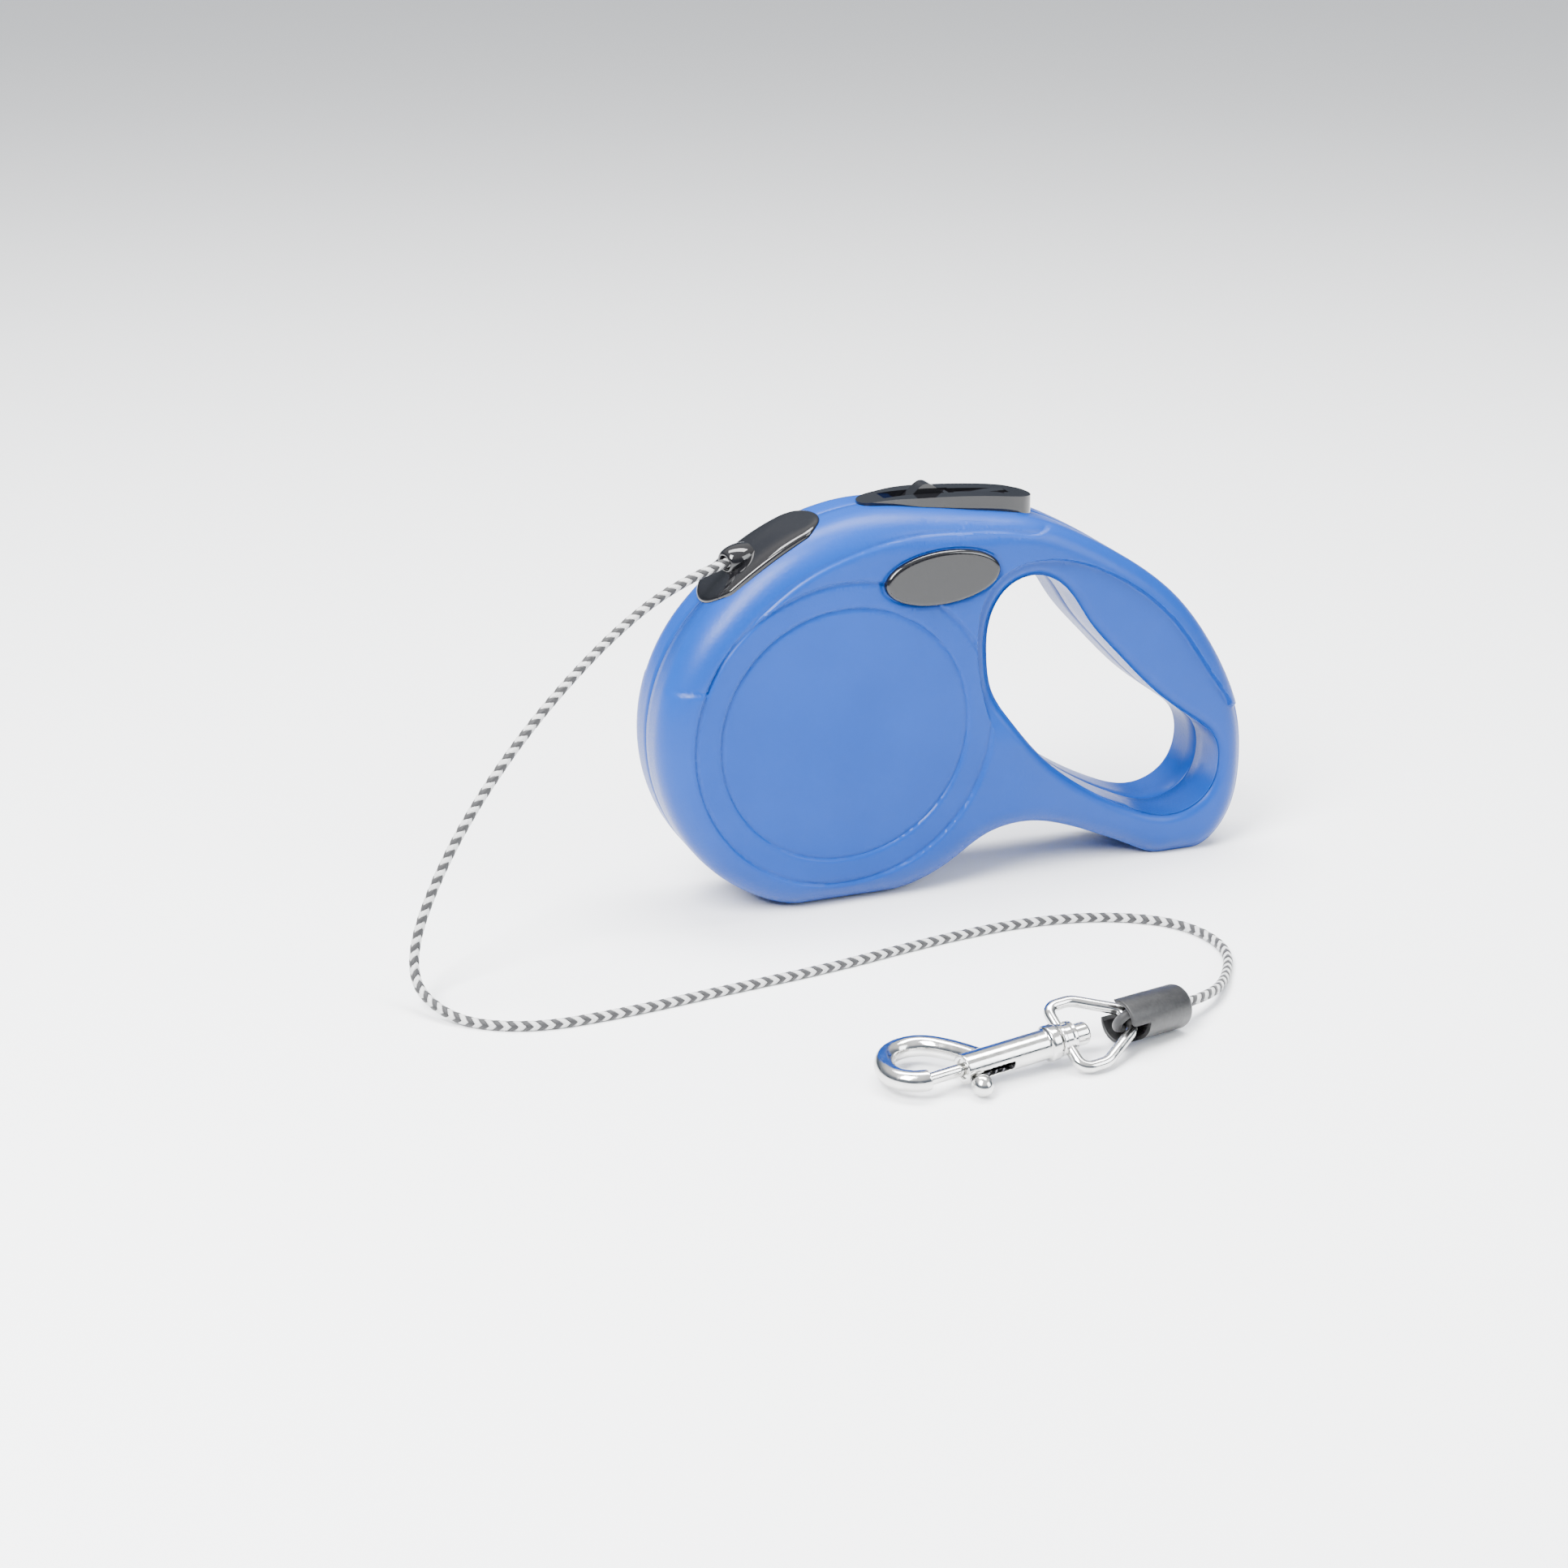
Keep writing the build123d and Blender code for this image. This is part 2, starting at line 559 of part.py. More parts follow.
def swivel_stud():
    """The pin that holds the hook's barrel to the ring and lets it turn."""
    head_from = BOSS_HALF + LIP
    head = along_x(STUD_HEAD, head_from, head_from + STUD_HEAD_LENGTH)
    head = fillet(head.faces().sort_by(Axis.X)[-1].edges(), 0.9)
    return head + along_x(STUD_RADIUS, BARREL_END - STUD_SEAT, head_from)


def knob_side(shape):
    """Turn a piece drawn towards local -y down to the knob's side of the barrel."""
    return Rot(KNOB_ANGLE, 0, 0) * shape


def hook_body():
    """Barrel, collar and the curved arm whose tip meets the bolt."""
    barrel = along_x(BARREL_RADIUS, BARREL_MOUTH, BARREL_END)
    collar = fillet(along_x(COLLAR_RADIUS, BARREL_END, COLLAR_END).edges().filter_by(
        GeomType.CIRCLE), 0.5)
    arm = [(0, 0), (-4.8, 3.6), (-4.6, 9.4), (-0.6, 13.9), (5, 13.9), (9.6, 9.4), (13.4, 1.6)]
    path = curve([(TIP + x, y) for x, y in arm], 180, -66)
    body = barrel + collar + tube_along(path, EYE_WIRE)
    body -= along_x(BORE_RADIUS, TIP, BORE_END)
    body -= along_x(STUD_RADIUS, BARREL_END - STUD_SEAT, 0)
    half = KNOB_STEM + FREE_GAP
    slot = box(STEM_X - half, STEM_X + BOLT_TRAVEL + half, -6, 0, -half, half)
    return body - knob_side(slot)


def hook_bolt():
    """Piston and rod that close the hook."""
    rod = along_x(ROD_RADIUS, TIP + 0.05, PISTON_FROM)
    return rod + along_x(BORE_RADIUS - RUNNING, PISTON_FROM, PISTON_TO)


def bolt_knob():
    """Thumb knob: a stem from the piston out through the slot, and a ball."""
    seat = BORE_RADIUS - RUNNING
    stem = Pos(STEM_X, -seat, 0) * Rot(90, 0, 0) * Cylinder(
        KNOB_STEM, KNOB_REACH - seat, align=(Align.CENTER, Align.CENTER, Align.MIN))
    return knob_side(stem + Pos(STEM_X, -KNOB_REACH, 0) * Sphere(KNOB_RADIUS))


def bolt_spring():
    wire = 0.25
    spring = coil(BORE_RADIUS - RUNNING - 2 * wire, wire, BORE_END - PISTON_TO, 6)
    return Pos(PISTON_TO, 0, 0) * Rot(0, 90, 0) * spring


def end_sleeve():
    """Rubber sleeve over the cord's knot, slotted where the ring's sides come in."""
    tube = along_x(SLEEVE_RADIUS, -SLEEVE_MOUTH, SLEEVE_REAR)
    tube = fillet(tube.faces().sort_by(Axis.X)[-1].edges(), 0.8)
    tube -= along_x(SLEEVE_BORE, -SLEEVE_MOUTH - 1, SLEEVE_REAR - SLEEVE_CAP)
    half = RING_WIRE + SLOT_GAP
    slot = box(-SLEEVE_MOUTH - 1, RING_WIRE + 0.9, -9, 9, -half, half)
    return tube - Rot(RING_TILT, 0, 0) * slot


def cord_loop():
    """The cord's end, doubled round the end of the ring."""
    r = LOOP_RADIUS
    path = Wire([Line((LOOP_END, 0, r), (0, 0, r)),
                 ThreePointArc((0, 0, r), (-r, 0, 0), (0, 0, -r)),
                 Line((0, 0, -r), (LOOP_END, 0, -r))])
    return Rot(RING_TILT, 0, 0) * tube_along(path, CORD_RADIUS)


def cord_crimp():
    return along_x(SLEEVE_BORE, LOOP_END, LOOP_END + CRIMP_LENGTH)


# ---- all nodes ----------------------------------------------------------------------
def key_pin():
    reach = KEY_HALF + KEY_PIN_SEAT
    return disc(KEY_PIN_RADIUS, -reach, reach, *KEY_PIVOT)


def key_spring():
    """Return spring under the key's heel."""
    x = KEY_HEEL - 4.6
    return Pos(x, 0, KEY_FLOOR) * coil(1.6, 0.3, 3.7 * SIDE, 4)


IN_CASE = {
    "front_shell": shell(-1),
    "rear_shell": shell(1),
    "front_badge": badge(-1),
    "rear_badge": badge(1),
    "casing_screws": casing_screws(),
    "axle_pin": axle_pin(),
    "thrust_washer": thrust_washer(),
    "spring_arbor": spring_arbor(),
    "mainspring": mainspring(),
    "reel_drum": reel_drum(),
    "spring_cup": spring_cup(),
    "spring_lid": spring_lid(),
    "wound_cord": wound_cord(),
    "brake_key": brake_key(),
    "key_pin": key_pin(),
    "key_spring": key_spring(),
    "lock_slider": lock_slider(),
    "brake_pawl": brake_pawl(),
}
OUTSIDE = {
    "nozzle_plate": nozzle_plate(),
    "cord_eyelet": cord_eyelet(),
    "free_cord": free_cord(),
    "end_sleeve": SLEEVE_FRAME * end_sleeve(),
    "cord_loop": SLEEVE_FRAME * cord_loop(),
    "cord_crimp": SLEEVE_FRAME * cord_crimp(),
    "swivel_ring": RING_FRAME * swivel_ring(),
    "swivel_stud": HOOK_FRAME * swivel_stud(),
    "hook_body": HOOK_FRAME * hook_body(),
    "hook_bolt": HOOK_FRAME * hook_bolt(),
    "bolt_knob": HOOK_FRAME * bolt_knob(),
    "bolt_spring": HOOK_FRAME * bolt_spring(),
}

for name, shape in IN_CASE.items():
    export_step(HOME * shape, f"parts/{name}.step")
for name, shape in OUTSIDE.items():
    export_step(shape, f"parts/{name}.step")
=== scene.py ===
import bmesh
import bpy
import json
import math
import numpy as np
from mathutils import Matrix, Vector
from mathutils.geometry import delaunay_2d_cdt


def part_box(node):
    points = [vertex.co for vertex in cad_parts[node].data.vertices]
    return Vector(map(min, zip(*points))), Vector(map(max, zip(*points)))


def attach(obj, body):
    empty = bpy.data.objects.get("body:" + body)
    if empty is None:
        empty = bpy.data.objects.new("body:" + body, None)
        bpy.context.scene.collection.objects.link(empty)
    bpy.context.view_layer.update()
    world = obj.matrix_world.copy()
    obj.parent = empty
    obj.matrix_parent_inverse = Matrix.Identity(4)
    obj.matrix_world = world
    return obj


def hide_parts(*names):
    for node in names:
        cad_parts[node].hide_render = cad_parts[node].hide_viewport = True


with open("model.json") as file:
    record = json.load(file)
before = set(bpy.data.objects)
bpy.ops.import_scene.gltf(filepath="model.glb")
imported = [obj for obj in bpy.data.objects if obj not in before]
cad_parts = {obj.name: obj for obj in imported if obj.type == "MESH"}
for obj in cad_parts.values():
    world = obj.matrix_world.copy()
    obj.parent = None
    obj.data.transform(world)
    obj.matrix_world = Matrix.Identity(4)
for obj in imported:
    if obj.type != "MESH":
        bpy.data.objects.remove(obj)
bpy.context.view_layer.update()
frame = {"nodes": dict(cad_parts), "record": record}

MM = 0.001

# The reel axis is where the casing's outlines are drawn from.
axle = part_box("axle_pin")
CENTRE = Vector([(low + high) / 2 for low, high in zip(*axle)])
REEL_X = CENTRE.x / MM
REEL_Z = CENTRE.z / MM

# Sizes in millimetres, the same as the CAD model's
CASE_RADIUS = 43.5
CASE_HALF = 14.0
FOOT = -42.0
CORD_RADIUS = 1.0
CHAMBER_RADIUS = 35.0
INSIDE = 11.6


def polar(radius, degrees):
    return radius * math.cos(math.radians(degrees)), radius * math.sin(math.radians(degrees))


def smooth(value):
    value = np.clip(value, 0.0, 1.0)
    return value * value * (3 - 2 * value)


# ---- camera -------------------------------------------------------------------------
def add_camera():
    azimuth, elevation = math.radians(-20.5), math.radians(21.0)
    right = Vector((math.cos(azimuth), math.sin(azimuth), 0))
    level = math.cos(elevation)
    back = Vector((math.sin(azimuth) * level, -math.cos(azimuth) * level, math.sin(elevation)))
    up = back.cross(right)
    data = bpy.data.cameras.new("camera")
    data.sensor_width = 36.0
    data.lens = 64.84
    data.clip_start = 0.01
    camera = bpy.data.objects.new("camera", data)
    bpy.context.collection.objects.link(camera)
    place = CENTRE + 0.650 * back - 0.00962 * right - 0.01526 * up
    turn = Matrix((right, up, back)).transposed().to_4x4()
    camera.matrix_world = Matrix.Translation(place) @ turn
    bpy.context.scene.camera = camera


add_camera()


# ---- materials ----------------------------------------------------------------------
class Paint:
    """A node material with a Principled shader, and short ways to add detail to it."""

    def __init__(self, name, color, rough, metallic=0.0, **sockets):
        self.material = bpy.data.materials.new(name)
        self.material.use_nodes = True
        self.nodes = self.material.node_tree.nodes
        self.links = self.material.node_tree.links
        self.shader = self.nodes["Principled BSDF"]
        self.shader.inputs["Base Color"].default_value = (*color, 1)
        self.shader.inputs["Roughness"].default_value = rough
        self.shader.inputs["Metallic"].default_value = metallic
        for socket, value in sockets.items():
            self.shader.inputs[socket.replace("_", " ")].default_value = value
        self.where = self.nodes.new("ShaderNodeTexCoord").outputs["Object"]
        self.normal = None

    def noise(self, scale, detail=3.0, roughness=0.5):
        node = self.nodes.new("ShaderNodeTexNoise")
        node.inputs["Scale"].default_value = scale
        node.inputs["Detail"].default_value = detail
        node.inputs["Roughness"].default_value = roughness
        self.links.new(self.where, node.inputs["Vector"])
        return node.outputs["Fac"]

    def ramp(self, source, low, high, start=0.3, end=0.7):
        node = self.nodes.new("ShaderNodeMapRange")
        node.inputs["From Min"].default_value = start
        node.inputs["From Max"].default_value = end
        node.inputs["To Min"].default_value = low
        node.inputs["To Max"].default_value = high
        self.links.new(source, node.inputs["Value"])
        return node.outputs["Result"]

    def mix(self, source, first, second, socket="Base Color"):
        node = self.nodes.new("ShaderNodeMix")
        node.data_type = "RGBA"
        self.links.new(source, node.inputs["Factor"])
        for end, value in ((node.inputs[6], first), (node.inputs[7], second)):
            if isinstance(value, tuple):
                end.default_value = (*value, 1)
            else:
                self.links.new(value, end)
        self.links.new(node.outputs[2], self.shader.inputs[socket])
        return node.outputs[2]

    def rough(self, source):
        self.links.new(source, self.shader.inputs["Roughness"])

    def bump(self, source, strength, distance):
        node = self.nodes.new("ShaderNodeBump")
        node.inputs["Strength"].default_value = strength
        node.inputs["Distance"].default_value = distance
        self.links.new(source, node.inputs["Height"])
        if self.normal:
            self.links.new(self.normal, node.inputs["Normal"])
        self.normal = node.outputs["Normal"]
        self.links.new(self.normal, self.shader.inputs["Normal"])

    def edge_highlight(self, reach=0.0006):
        """1 on sharp outer edges, 0 elsewhere: the mask for a painted highlight along the edges."""
        bevel = self.nodes.new("ShaderNodeBevel")
        bevel.inputs["Radius"].default_value = reach
        geometry = self.nodes.new("ShaderNodeNewGeometry")
        dot = self.nodes.new("ShaderNodeVectorMath")
        dot.operation = "DOT_PRODUCT"
        self.links.new(bevel.outputs["Normal"], dot.inputs[0])
        self.links.new(geometry.outputs["Normal"], dot.inputs[1])
        return self.ramp(dot.outputs["Value"], 1.0, 0.0, 0.82, 0.99)


def casing_paint():
    """Blue plastic with a fine spark-eroded grain."""
    paint = Paint("casing_blue", (0.0006, 0.040, 0.24), 0.34, Specular_IOR_Level=0.22)
    cloud = paint.noise(45, 2)
    tone = paint.ramp(cloud, 0.0, 1.0)
    base = paint.mix(tone, (0.0006, 0.038, 0.23), (0.0008, 0.043, 0.255))
    # Sharp edges are mixed toward a lighter blue: a painted highlight along the edges.
    edge_highlight_mask = paint.edge_highlight(0.0004)
    paint.mix(paint.ramp(edge_highlight_mask, 0.0, 0.35, 0.0, 1.0), base, (0.004, 0.08, 0.38))
    grain = paint.noise(2600, 2, 0.6)
    coarse = paint.noise(1100, 1, 0.5)
    paint.rough(paint.ramp(grain, 0.30, 0.42))
    paint.bump(coarse, 0.22, 0.00010)
    paint.bump(grain, 0.28, 0.00006)
    return paint.material


def gloss_paint():
    """Polished black plastic with faint dust and hairlines."""
    paint = Paint("gloss_black", (0.006, 0.006, 0.007), 0.06, Specular_IOR_Level=0.55)
    dust = paint.ramp(paint.noise(900, 4, 0.7), 0.0, 1.0, 0.62, 0.75)
    paint.mix(dust, (0.005, 0.005, 0.006), (0.02, 0.02, 0.022))
    paint.rough(paint.ramp(paint.noise(160, 4), 0.04, 0.11))
    paint.bump(paint.noise(120, 2), 0.05, 0.0001)
    return paint.material


def metal_paint(name, color, low, high, scale=220):
    """Plated metal with soft unevenness, and a painted highlight on its sharp edges."""
    paint = Paint(name, color, (low + high) / 2, 1.0)
    cloud = paint.noise(scale, 4, 0.6)
    light = tuple(min(1.0, c * 1.08) for c in color)
    dark = tuple(c * 0.86 for c in color)
    base = paint.mix(paint.ramp(cloud, 0.0, 1.0), dark, light)
    # Sharp edges are mixed toward the lighter colour: a painted highlight along the edges.
    paint.mix(paint.ramp(paint.edge_highlight(), 0.0, 0.5, 0.0, 1.0), base, light)
    paint.rough(paint.ramp(paint.noise(scale * 4, 3), low, high))
    paint.bump(paint.noise(scale * 2.5, 3), 0.08, 0.0001)
    return paint.material


def rubber_paint():
    paint = Paint("rubber_black", (0.012, 0.012, 0.013), 0.42)
    speck = paint.noise(1500, 3, 0.6)
    paint.mix(paint.ramp(speck, 0.0, 1.0), (0.009, 0.009, 0.01), (0.02, 0.02, 0.021))
    paint.rough(paint.ramp(paint.noise(400, 3), 0.34, 0.5))
    paint.bump(speck, 0.2, 0.00008)
    return paint.material


def acetal_paint():
    paint = Paint("inner_plastic", (0.62, 0.62, 0.60), 0.35)
    paint.mix(paint.ramp(paint.noise(80, 3), 0.0, 1.0), (0.55, 0.55, 0.53), (0.66, 0.66, 0.64))
    paint.rough(paint.ramp(paint.noise(700, 3), 0.28, 0.42))
    paint.bump(paint.noise(1200, 2), 0.08, 0.00005)
    return paint.material


def yarn_paint(name, dark, light):
    """Braiding yarn: fine filaments that run along each strand."""
    paint = Paint(name, dark, 0.6, Sheen_Weight=0.25)
    uv = paint.nodes.new("ShaderNodeTexCoord").outputs["UV"]
    stretch = paint.nodes.new("ShaderNodeMapping")
    stretch.inputs["Scale"].default_value = (40, 9, 1)
    paint.links.new(uv, stretch.inputs["Vector"])
    paint.where = stretch.outputs["Vector"]
    fibre = paint.noise(1.0, 3, 0.6)
    paint.mix(paint.ramp(fibre, 0.0, 1.0), dark, light)
    paint.rough(paint.ramp(fibre, 0.5, 0.75))
    paint.bump(fibre, 0.5, 0.00006)
    return paint.material


BLUE = casing_paint()
GLOSS = gloss_paint()
NICKEL = metal_paint("nickel", (0.66, 0.655, 0.64), 0.08, 0.2)
STEEL = metal_paint("steel", (0.5, 0.5, 0.51), 0.25, 0.4)
SPRING = metal_paint("spring_steel", (0.28, 0.28, 0.31), 0.3, 0.45)
RUBBER = rubber_paint()
ACETAL = acetal_paint()
BLACK_YARN = yarn_paint("yarn_black", (0.006, 0.006, 0.007), (0.02, 0.02, 0.022))
GREY_YARN = yarn_paint("yarn_grey", (0.34, 0.34, 0.34), (0.62, 0.62, 0.61))

CAD_FINISH = {
    "gloss_black": GLOSS, "steel": STEEL, "spring_steel": SPRING, "inner_plastic": ACETAL,
    "rubber_black": RUBBER, "nickel": NICKEL, "casing_blue": BLUE, "cord": BLACK_YARN,
}
for part in frame["record"]["subparts"]:
    node = frame["nodes"][part["node"]]
    node.data.materials.clear()
    node.data.materials.append(CAD_FINISH[part["material_slot"]])


# ---- helpers for pieces -------------------------------------------------------------
def add_mesh(name, verts, faces, materials, shades=None, smooth_faces=True):
    mesh = bpy.data.meshes.new(name)
    mesh.from_pydata([tuple(v) for v in verts], [], [tuple(int(i) for i in f) for f in faces])
    for material in materials:
        mesh.materials.append(material)
    if shades is not None:
        mesh.polygons.foreach_set("material_index", np.asarray(shades, dtype=np.int32))
    mesh.polygons.foreach_set("use_smooth", np.full(len(faces), smooth_faces))
    piece = bpy.data.objects.new(name, mesh)
    bpy.context.collection.objects.link(piece)
    mesh.validate()
    mesh.update()
    return piece


# ---- cord ---------------------------------------------------------------------------
# The cord's route, the same as the CAD model's, in metres.
EYELET = Vector((REEL_X - 24.4, -1.0, REEL_Z + 39.9)) * MM
ROUTE = [Vector(p) * MM for p in (
    (-65.7, -4.4, 80.4), (-85.2, -10.4, 70.9), (-108.2, -17.2, 52.2), (-127.0, -23.0, 29.5),
    (-137.4, -27.0, 6.5), (-131.8, -42.0, 1.05), (-116.7, -51.8, 1.05), (-96.2, -51.4, 1.05),
    (-72.2, -48.2, 1.05), (-46.2, -45.4, 1.05), (-20.2, -40.0, 1.05), (3.8, -37.6, 1.05),
    (23.8, -41.4, 1.05), (37.4, -51.2, 1.05), (40.4, -66.4, 1.05), (32.6, -80.2, 1.05),
)]
CORD_OUT = (ROUTE[0] - EYELET).normalized()
CORD_START = EYELET - CORD_OUT * 3.0 * MM
SLEEVE_REAR = Vector((11.64, -96.21, 4.85)) * MM
SLEEVE_OUT = Vector((0.9349, 0.3403, -0.1007)).normalized()
ROUTE = [CORD_START] + ROUTE + [SLEEVE_REAR + SLEEVE_OUT * 10.5 * MM, SLEEVE_REAR]


def cord_line():
    """Evenly spaced points along the smooth curve that the route controls."""
    curve = bpy.data.curves.new("route", "CURVE")
    curve.dimensions = "3D"
    spline = curve.splines.new("NURBS")
    spline.points.add(len(ROUTE) - 1)
    for point, place in zip(spline.points, ROUTE):
        point.co = (*place, 1)
    spline.order_u = 3
    spline.use_endpoint_u = True
    spline.resolution_u = 40
    holder = bpy.data.objects.new("route", curve)
    bpy.context.collection.objects.link(holder)
    mesh = bpy.data.meshes.new_from_object(holder)
    points = np.array([v.co for v in mesh.vertices])
    bpy.data.objects.remove(holder)
    bpy.data.meshes.remove(mesh)
    steps = np.linalg.norm(np.diff(points, axis=0), axis=1)
    along = np.concatenate([[0], np.cumsum(steps)])
    count = int(along[-1] / (0.45 * MM))
    even = np.linspace(0, along[-1], count + 1)
    return np.stack([np.interp(even, along, points[:, k]) for k in range(3)], 1), along[-1]


def moving_frames(points):
    """Tangents and two normals that don't twist along the line."""
    tangents = np.gradient(points, axis=0)
    tangents /= np.linalg.norm(tangents, axis=1)[:, None]
    side = np.zeros_like(points)
    guide = np.cross(tangents[0], (0, 0, 1.0))
    for i, tangent in enumerate(tangents):
        guide = guide - tangent * np.dot(guide, tangent)
        guide /= np.linalg.norm(guide)
        side[i] = guide
    return tangents, side, np.cross(tangents, side)


def braid(name, points, radius, strands, lead, body):
    """A braided cover: strands wound both ways, each over two and under two."""
    tangents, side, up = moving_frames(points)
    steps = np.linalg.norm(np.diff(points, axis=0), axis=1)
    along = np.concatenate([[0], np.cumsum(steps)])
    half = strands // 2
    ring = 6
    wide = radius * 0.56
    thick = radius * 0.17
    core = radius * 0.72
    verts, faces, shades, uvs = [], [], [], []

    def tube(center, across, outward, width, height, shade, length):
        base = len(verts)
        for i in range(len(center)):
            for k in range(ring):
                cos_k, sin_k = polar(1, 360 * k / ring)
                verts.append(center[i] + across[i] * cos_k * width + outward[i] * sin_k * height)
        for i in range(len(center) - 1):
            for k in range(ring):
                a = base + i * ring + k
                b = base + i * ring + (k + 1) % ring
                faces.append((a, b, b + ring, a + ring))
                shades.append(shade)
                uvs.append([(length[i], k), (length[i], k + 1), (length[i + 1], k + 1),
                            (length[i + 1], k)])
        faces.append(tuple(base + k for k in range(ring))[::-1])
        faces.append(tuple(base + (len(center) - 1) * ring + k for k in range(ring)))
        shades.extend([shade, shade])
        uvs.extend([[(0, 0)] * ring] * 2)

    tube(points, side, up, core, core, 0, along)
    for hand in (1, -1):
        for j in range(half):
            turn = hand * 2 * math.pi * along / lead + 2 * math.pi * j / half
            outward = side * np.cos(turn)[:, None] + up * np.sin(turn)[:, None]
            weave = hand * np.sin(2 * turn)
            lift = core + thick * (0.75 + 0.55 * np.tanh(1.6 * weave))
            center = points + outward * lift[:, None]
            heading = np.gradient(center, axis=0)
            heading /= np.linalg.norm(heading, axis=1)[:, None]
            across = np.cross(outward, heading)
            tube(center, across, outward, wide, thick, j % 2, along)
    piece = add_mesh(name, verts, faces, [BLACK_YARN, GREY_YARN], shades)
    layer = piece.data.uv_layers.new(name="UVMap")
    flat = [c for face in uvs for pair in face for c in (pair[0] / (3 * MM), pair[1] / ring)]
    layer.data.foreach_set("uv", flat)
    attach(piece, body)
    return piece


line, line_length = cord_line()
cord = braid("cord_braid", line, CORD_RADIUS * MM, 8, 6.1 * MM, "casing")
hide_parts("free_cord")


# ---- casing outline, in millimetres about the reel axis -----------------------------
def spline_through(points, start=None, end=None, step=0.6):
    """A smooth curve through the points. Without end angles, it closes on itself."""
    p = np.array(points, float)
    closed = start is None
    if closed:
        p = np.vstack([p, p[:1]])
    h = np.linalg.norm(np.diff(p, axis=0), axis=1)
    n = len(p)
    left = np.zeros((n, n))
    right = np.zeros((n, 2))
    for i in range(1, n - 1):
        left[i, i - 1:i + 2] = h[i], 2 * (h[i - 1] + h[i]), h[i - 1]
        right[i] = 3 * (h[i] / h[i - 1] * (p[i] - p[i - 1]) + h[i - 1] / h[i] * (p[i + 1] - p[i]))
    if closed:
        left[0, 0], left[0, -1] = 1, -1
        left[-1, -2], left[-1, -1], left[-1, 1] = h[0], 2 * (h[-1] + h[0]), h[-1]
        right[-1] = 3 * (h[0] / h[-1] * (p[-1] - p[-2]) + h[-1] / h[0] * (p[1] - p[0]))
    else:
        left[0, 0] = left[-1, -1] = 1
        right[0], right[-1] = polar(1, start), polar(1, end)
    slope = np.linalg.solve(left, right)
    out = []
    for i in range(n - 1):
        count = max(2, int(math.ceil(h[i] / step)))
        t = np.arange(count)[:, None] / count
        out.append((2 * t**3 - 3 * t**2 + 1) * p[i] + (t**3 - 2 * t**2 + t) * h[i] * slope[i]
                   + (3 * t**2 - 2 * t**3) * p[i + 1] + (t**3 - t**2) * h[i] * slope[i + 1])
    return np.vstack(out)


def straight(a, b, step=0.6):
    a, b = np.array(a, float), np.array(b, float)
    count = max(2, int(np.linalg.norm(b - a) / step))
    return a + (b - a) * np.arange(count)[:, None] / count


def casing_outline():
    """Clockwise from the drum's foot: round front, top, handle back, heel, strut."""
    lower, upper = polar(CASE_RADIUS, 240), polar(CASE_RADIUS, 137)
    angles = np.arange(240, 137, -0.8)
    front = CASE_RADIUS * np.stack([np.cos(np.radians(angles)), np.sin(np.radians(angles))], 1)
    top = [upper, (-17.5, 41.8), (-4, 48), (8, 50.2), (20, 49.6), (34, 47.6), (48, 45),
           (60, 39.8), (72, 32.8), (84, 23.3), (93, 12), (99.6, 0), (103.2, -11),
           (104, -20), (103.6, -27), (99.9, -36.9), (92, FOOT)]
    under = [(84, FOOT), (75, -38.8), (66, -34.6), (56, -30.6), (46, -28.6), (37, -30.5),
             (28, -36.6), (12, FOOT)]
    return np.vstack([
        spline_through([(-9, FOOT), lower], 180, 150), front, spline_through(top, 47, 180),
        straight((92, FOOT), (84, FOOT)), spline_through(under, 180, 180),
        straight((12, FOOT), (-9, FOOT))])


def opening_outline():
    return spline_through([
        (35, 14), (35.8, 24), (40.4, 30.6), (47.5, 32.4), (54, 29.2), (60.5, 20.4), (69, 10.6),
        (80, -0.4), (90, -8), (95.4, -13), (96.8, -20), (94, -27.2), (86, -31.2), (74, -28.3),
        (62, -21.8), (50, -12.3), (41, -1.5), (36.4, 6)])


OUTER = casing_outline()
OPENING = opening_outline()
STEP_LINE = [(36, -3), (35, 0), (32.5, 10), (31.8, 20), (34, 30), (40, 35), (48, 36.5),
             (55, 35.5), (65, 31.5), (75, 25), (85, 15), (92, 5), (99, -5)]
SADDLE_LINE = [(-33, 14), (-30, 20), (-20, 31), (-10, 38), (0, 42), (10, 44.3), (20, 45),
               (30, 44.5), (40, 43.5), (48, 43), (51, 45), (47, 47.8)]
STEP_CURVE = spline_through(STEP_LINE, 110, -62)
SADDLE_CURVE = spline_through(SADDLE_LINE, 65, 150)
BADGE_CENTRE = np.array((22.5, 35.2))
BADGE_SIZE = np.array((14.0, 6.3))
BADGE_TILT = math.radians(3.5)


def inward(loop):
    """Unit normals to the right of a clockwise loop."""
    ahead = np.roll(loop, -1, 0) - np.roll(loop, 1, 0)
    ahead /= np.linalg.norm(ahead, axis=1)[:, None]
    return np.stack([ahead[:, 1], -ahead[:, 0]], 1)


def outer_round(x):
    """Radius of the casing's shoulder: wide round the drum, narrower at the handle."""
    return 8.5 - 3.0 * smooth((x - 18) / 30)


GRIP_ROUND = 2.6


def nearest(points, loop):
    """Distance to a closed loop, and the index of the nearest point on it."""
    a = loop
    b = np.roll(loop, -1, 0)
    ab = b - a
    size = (ab ** 2).sum(1)
    distance = np.empty(len(points))
    index = np.empty(len(points), int)
    for first in range(0, len(points), 1500):
        p = points[first:first + 1500, None, :]
        t = np.clip(((p - a) * ab).sum(2) / size, 0, 1)
        gap = np.linalg.norm(p - (a + t[..., None] * ab), axis=2)
        index[first:first + 1500] = gap.argmin(1)
        distance[first:first + 1500] = gap.min(1)
    return distance, index


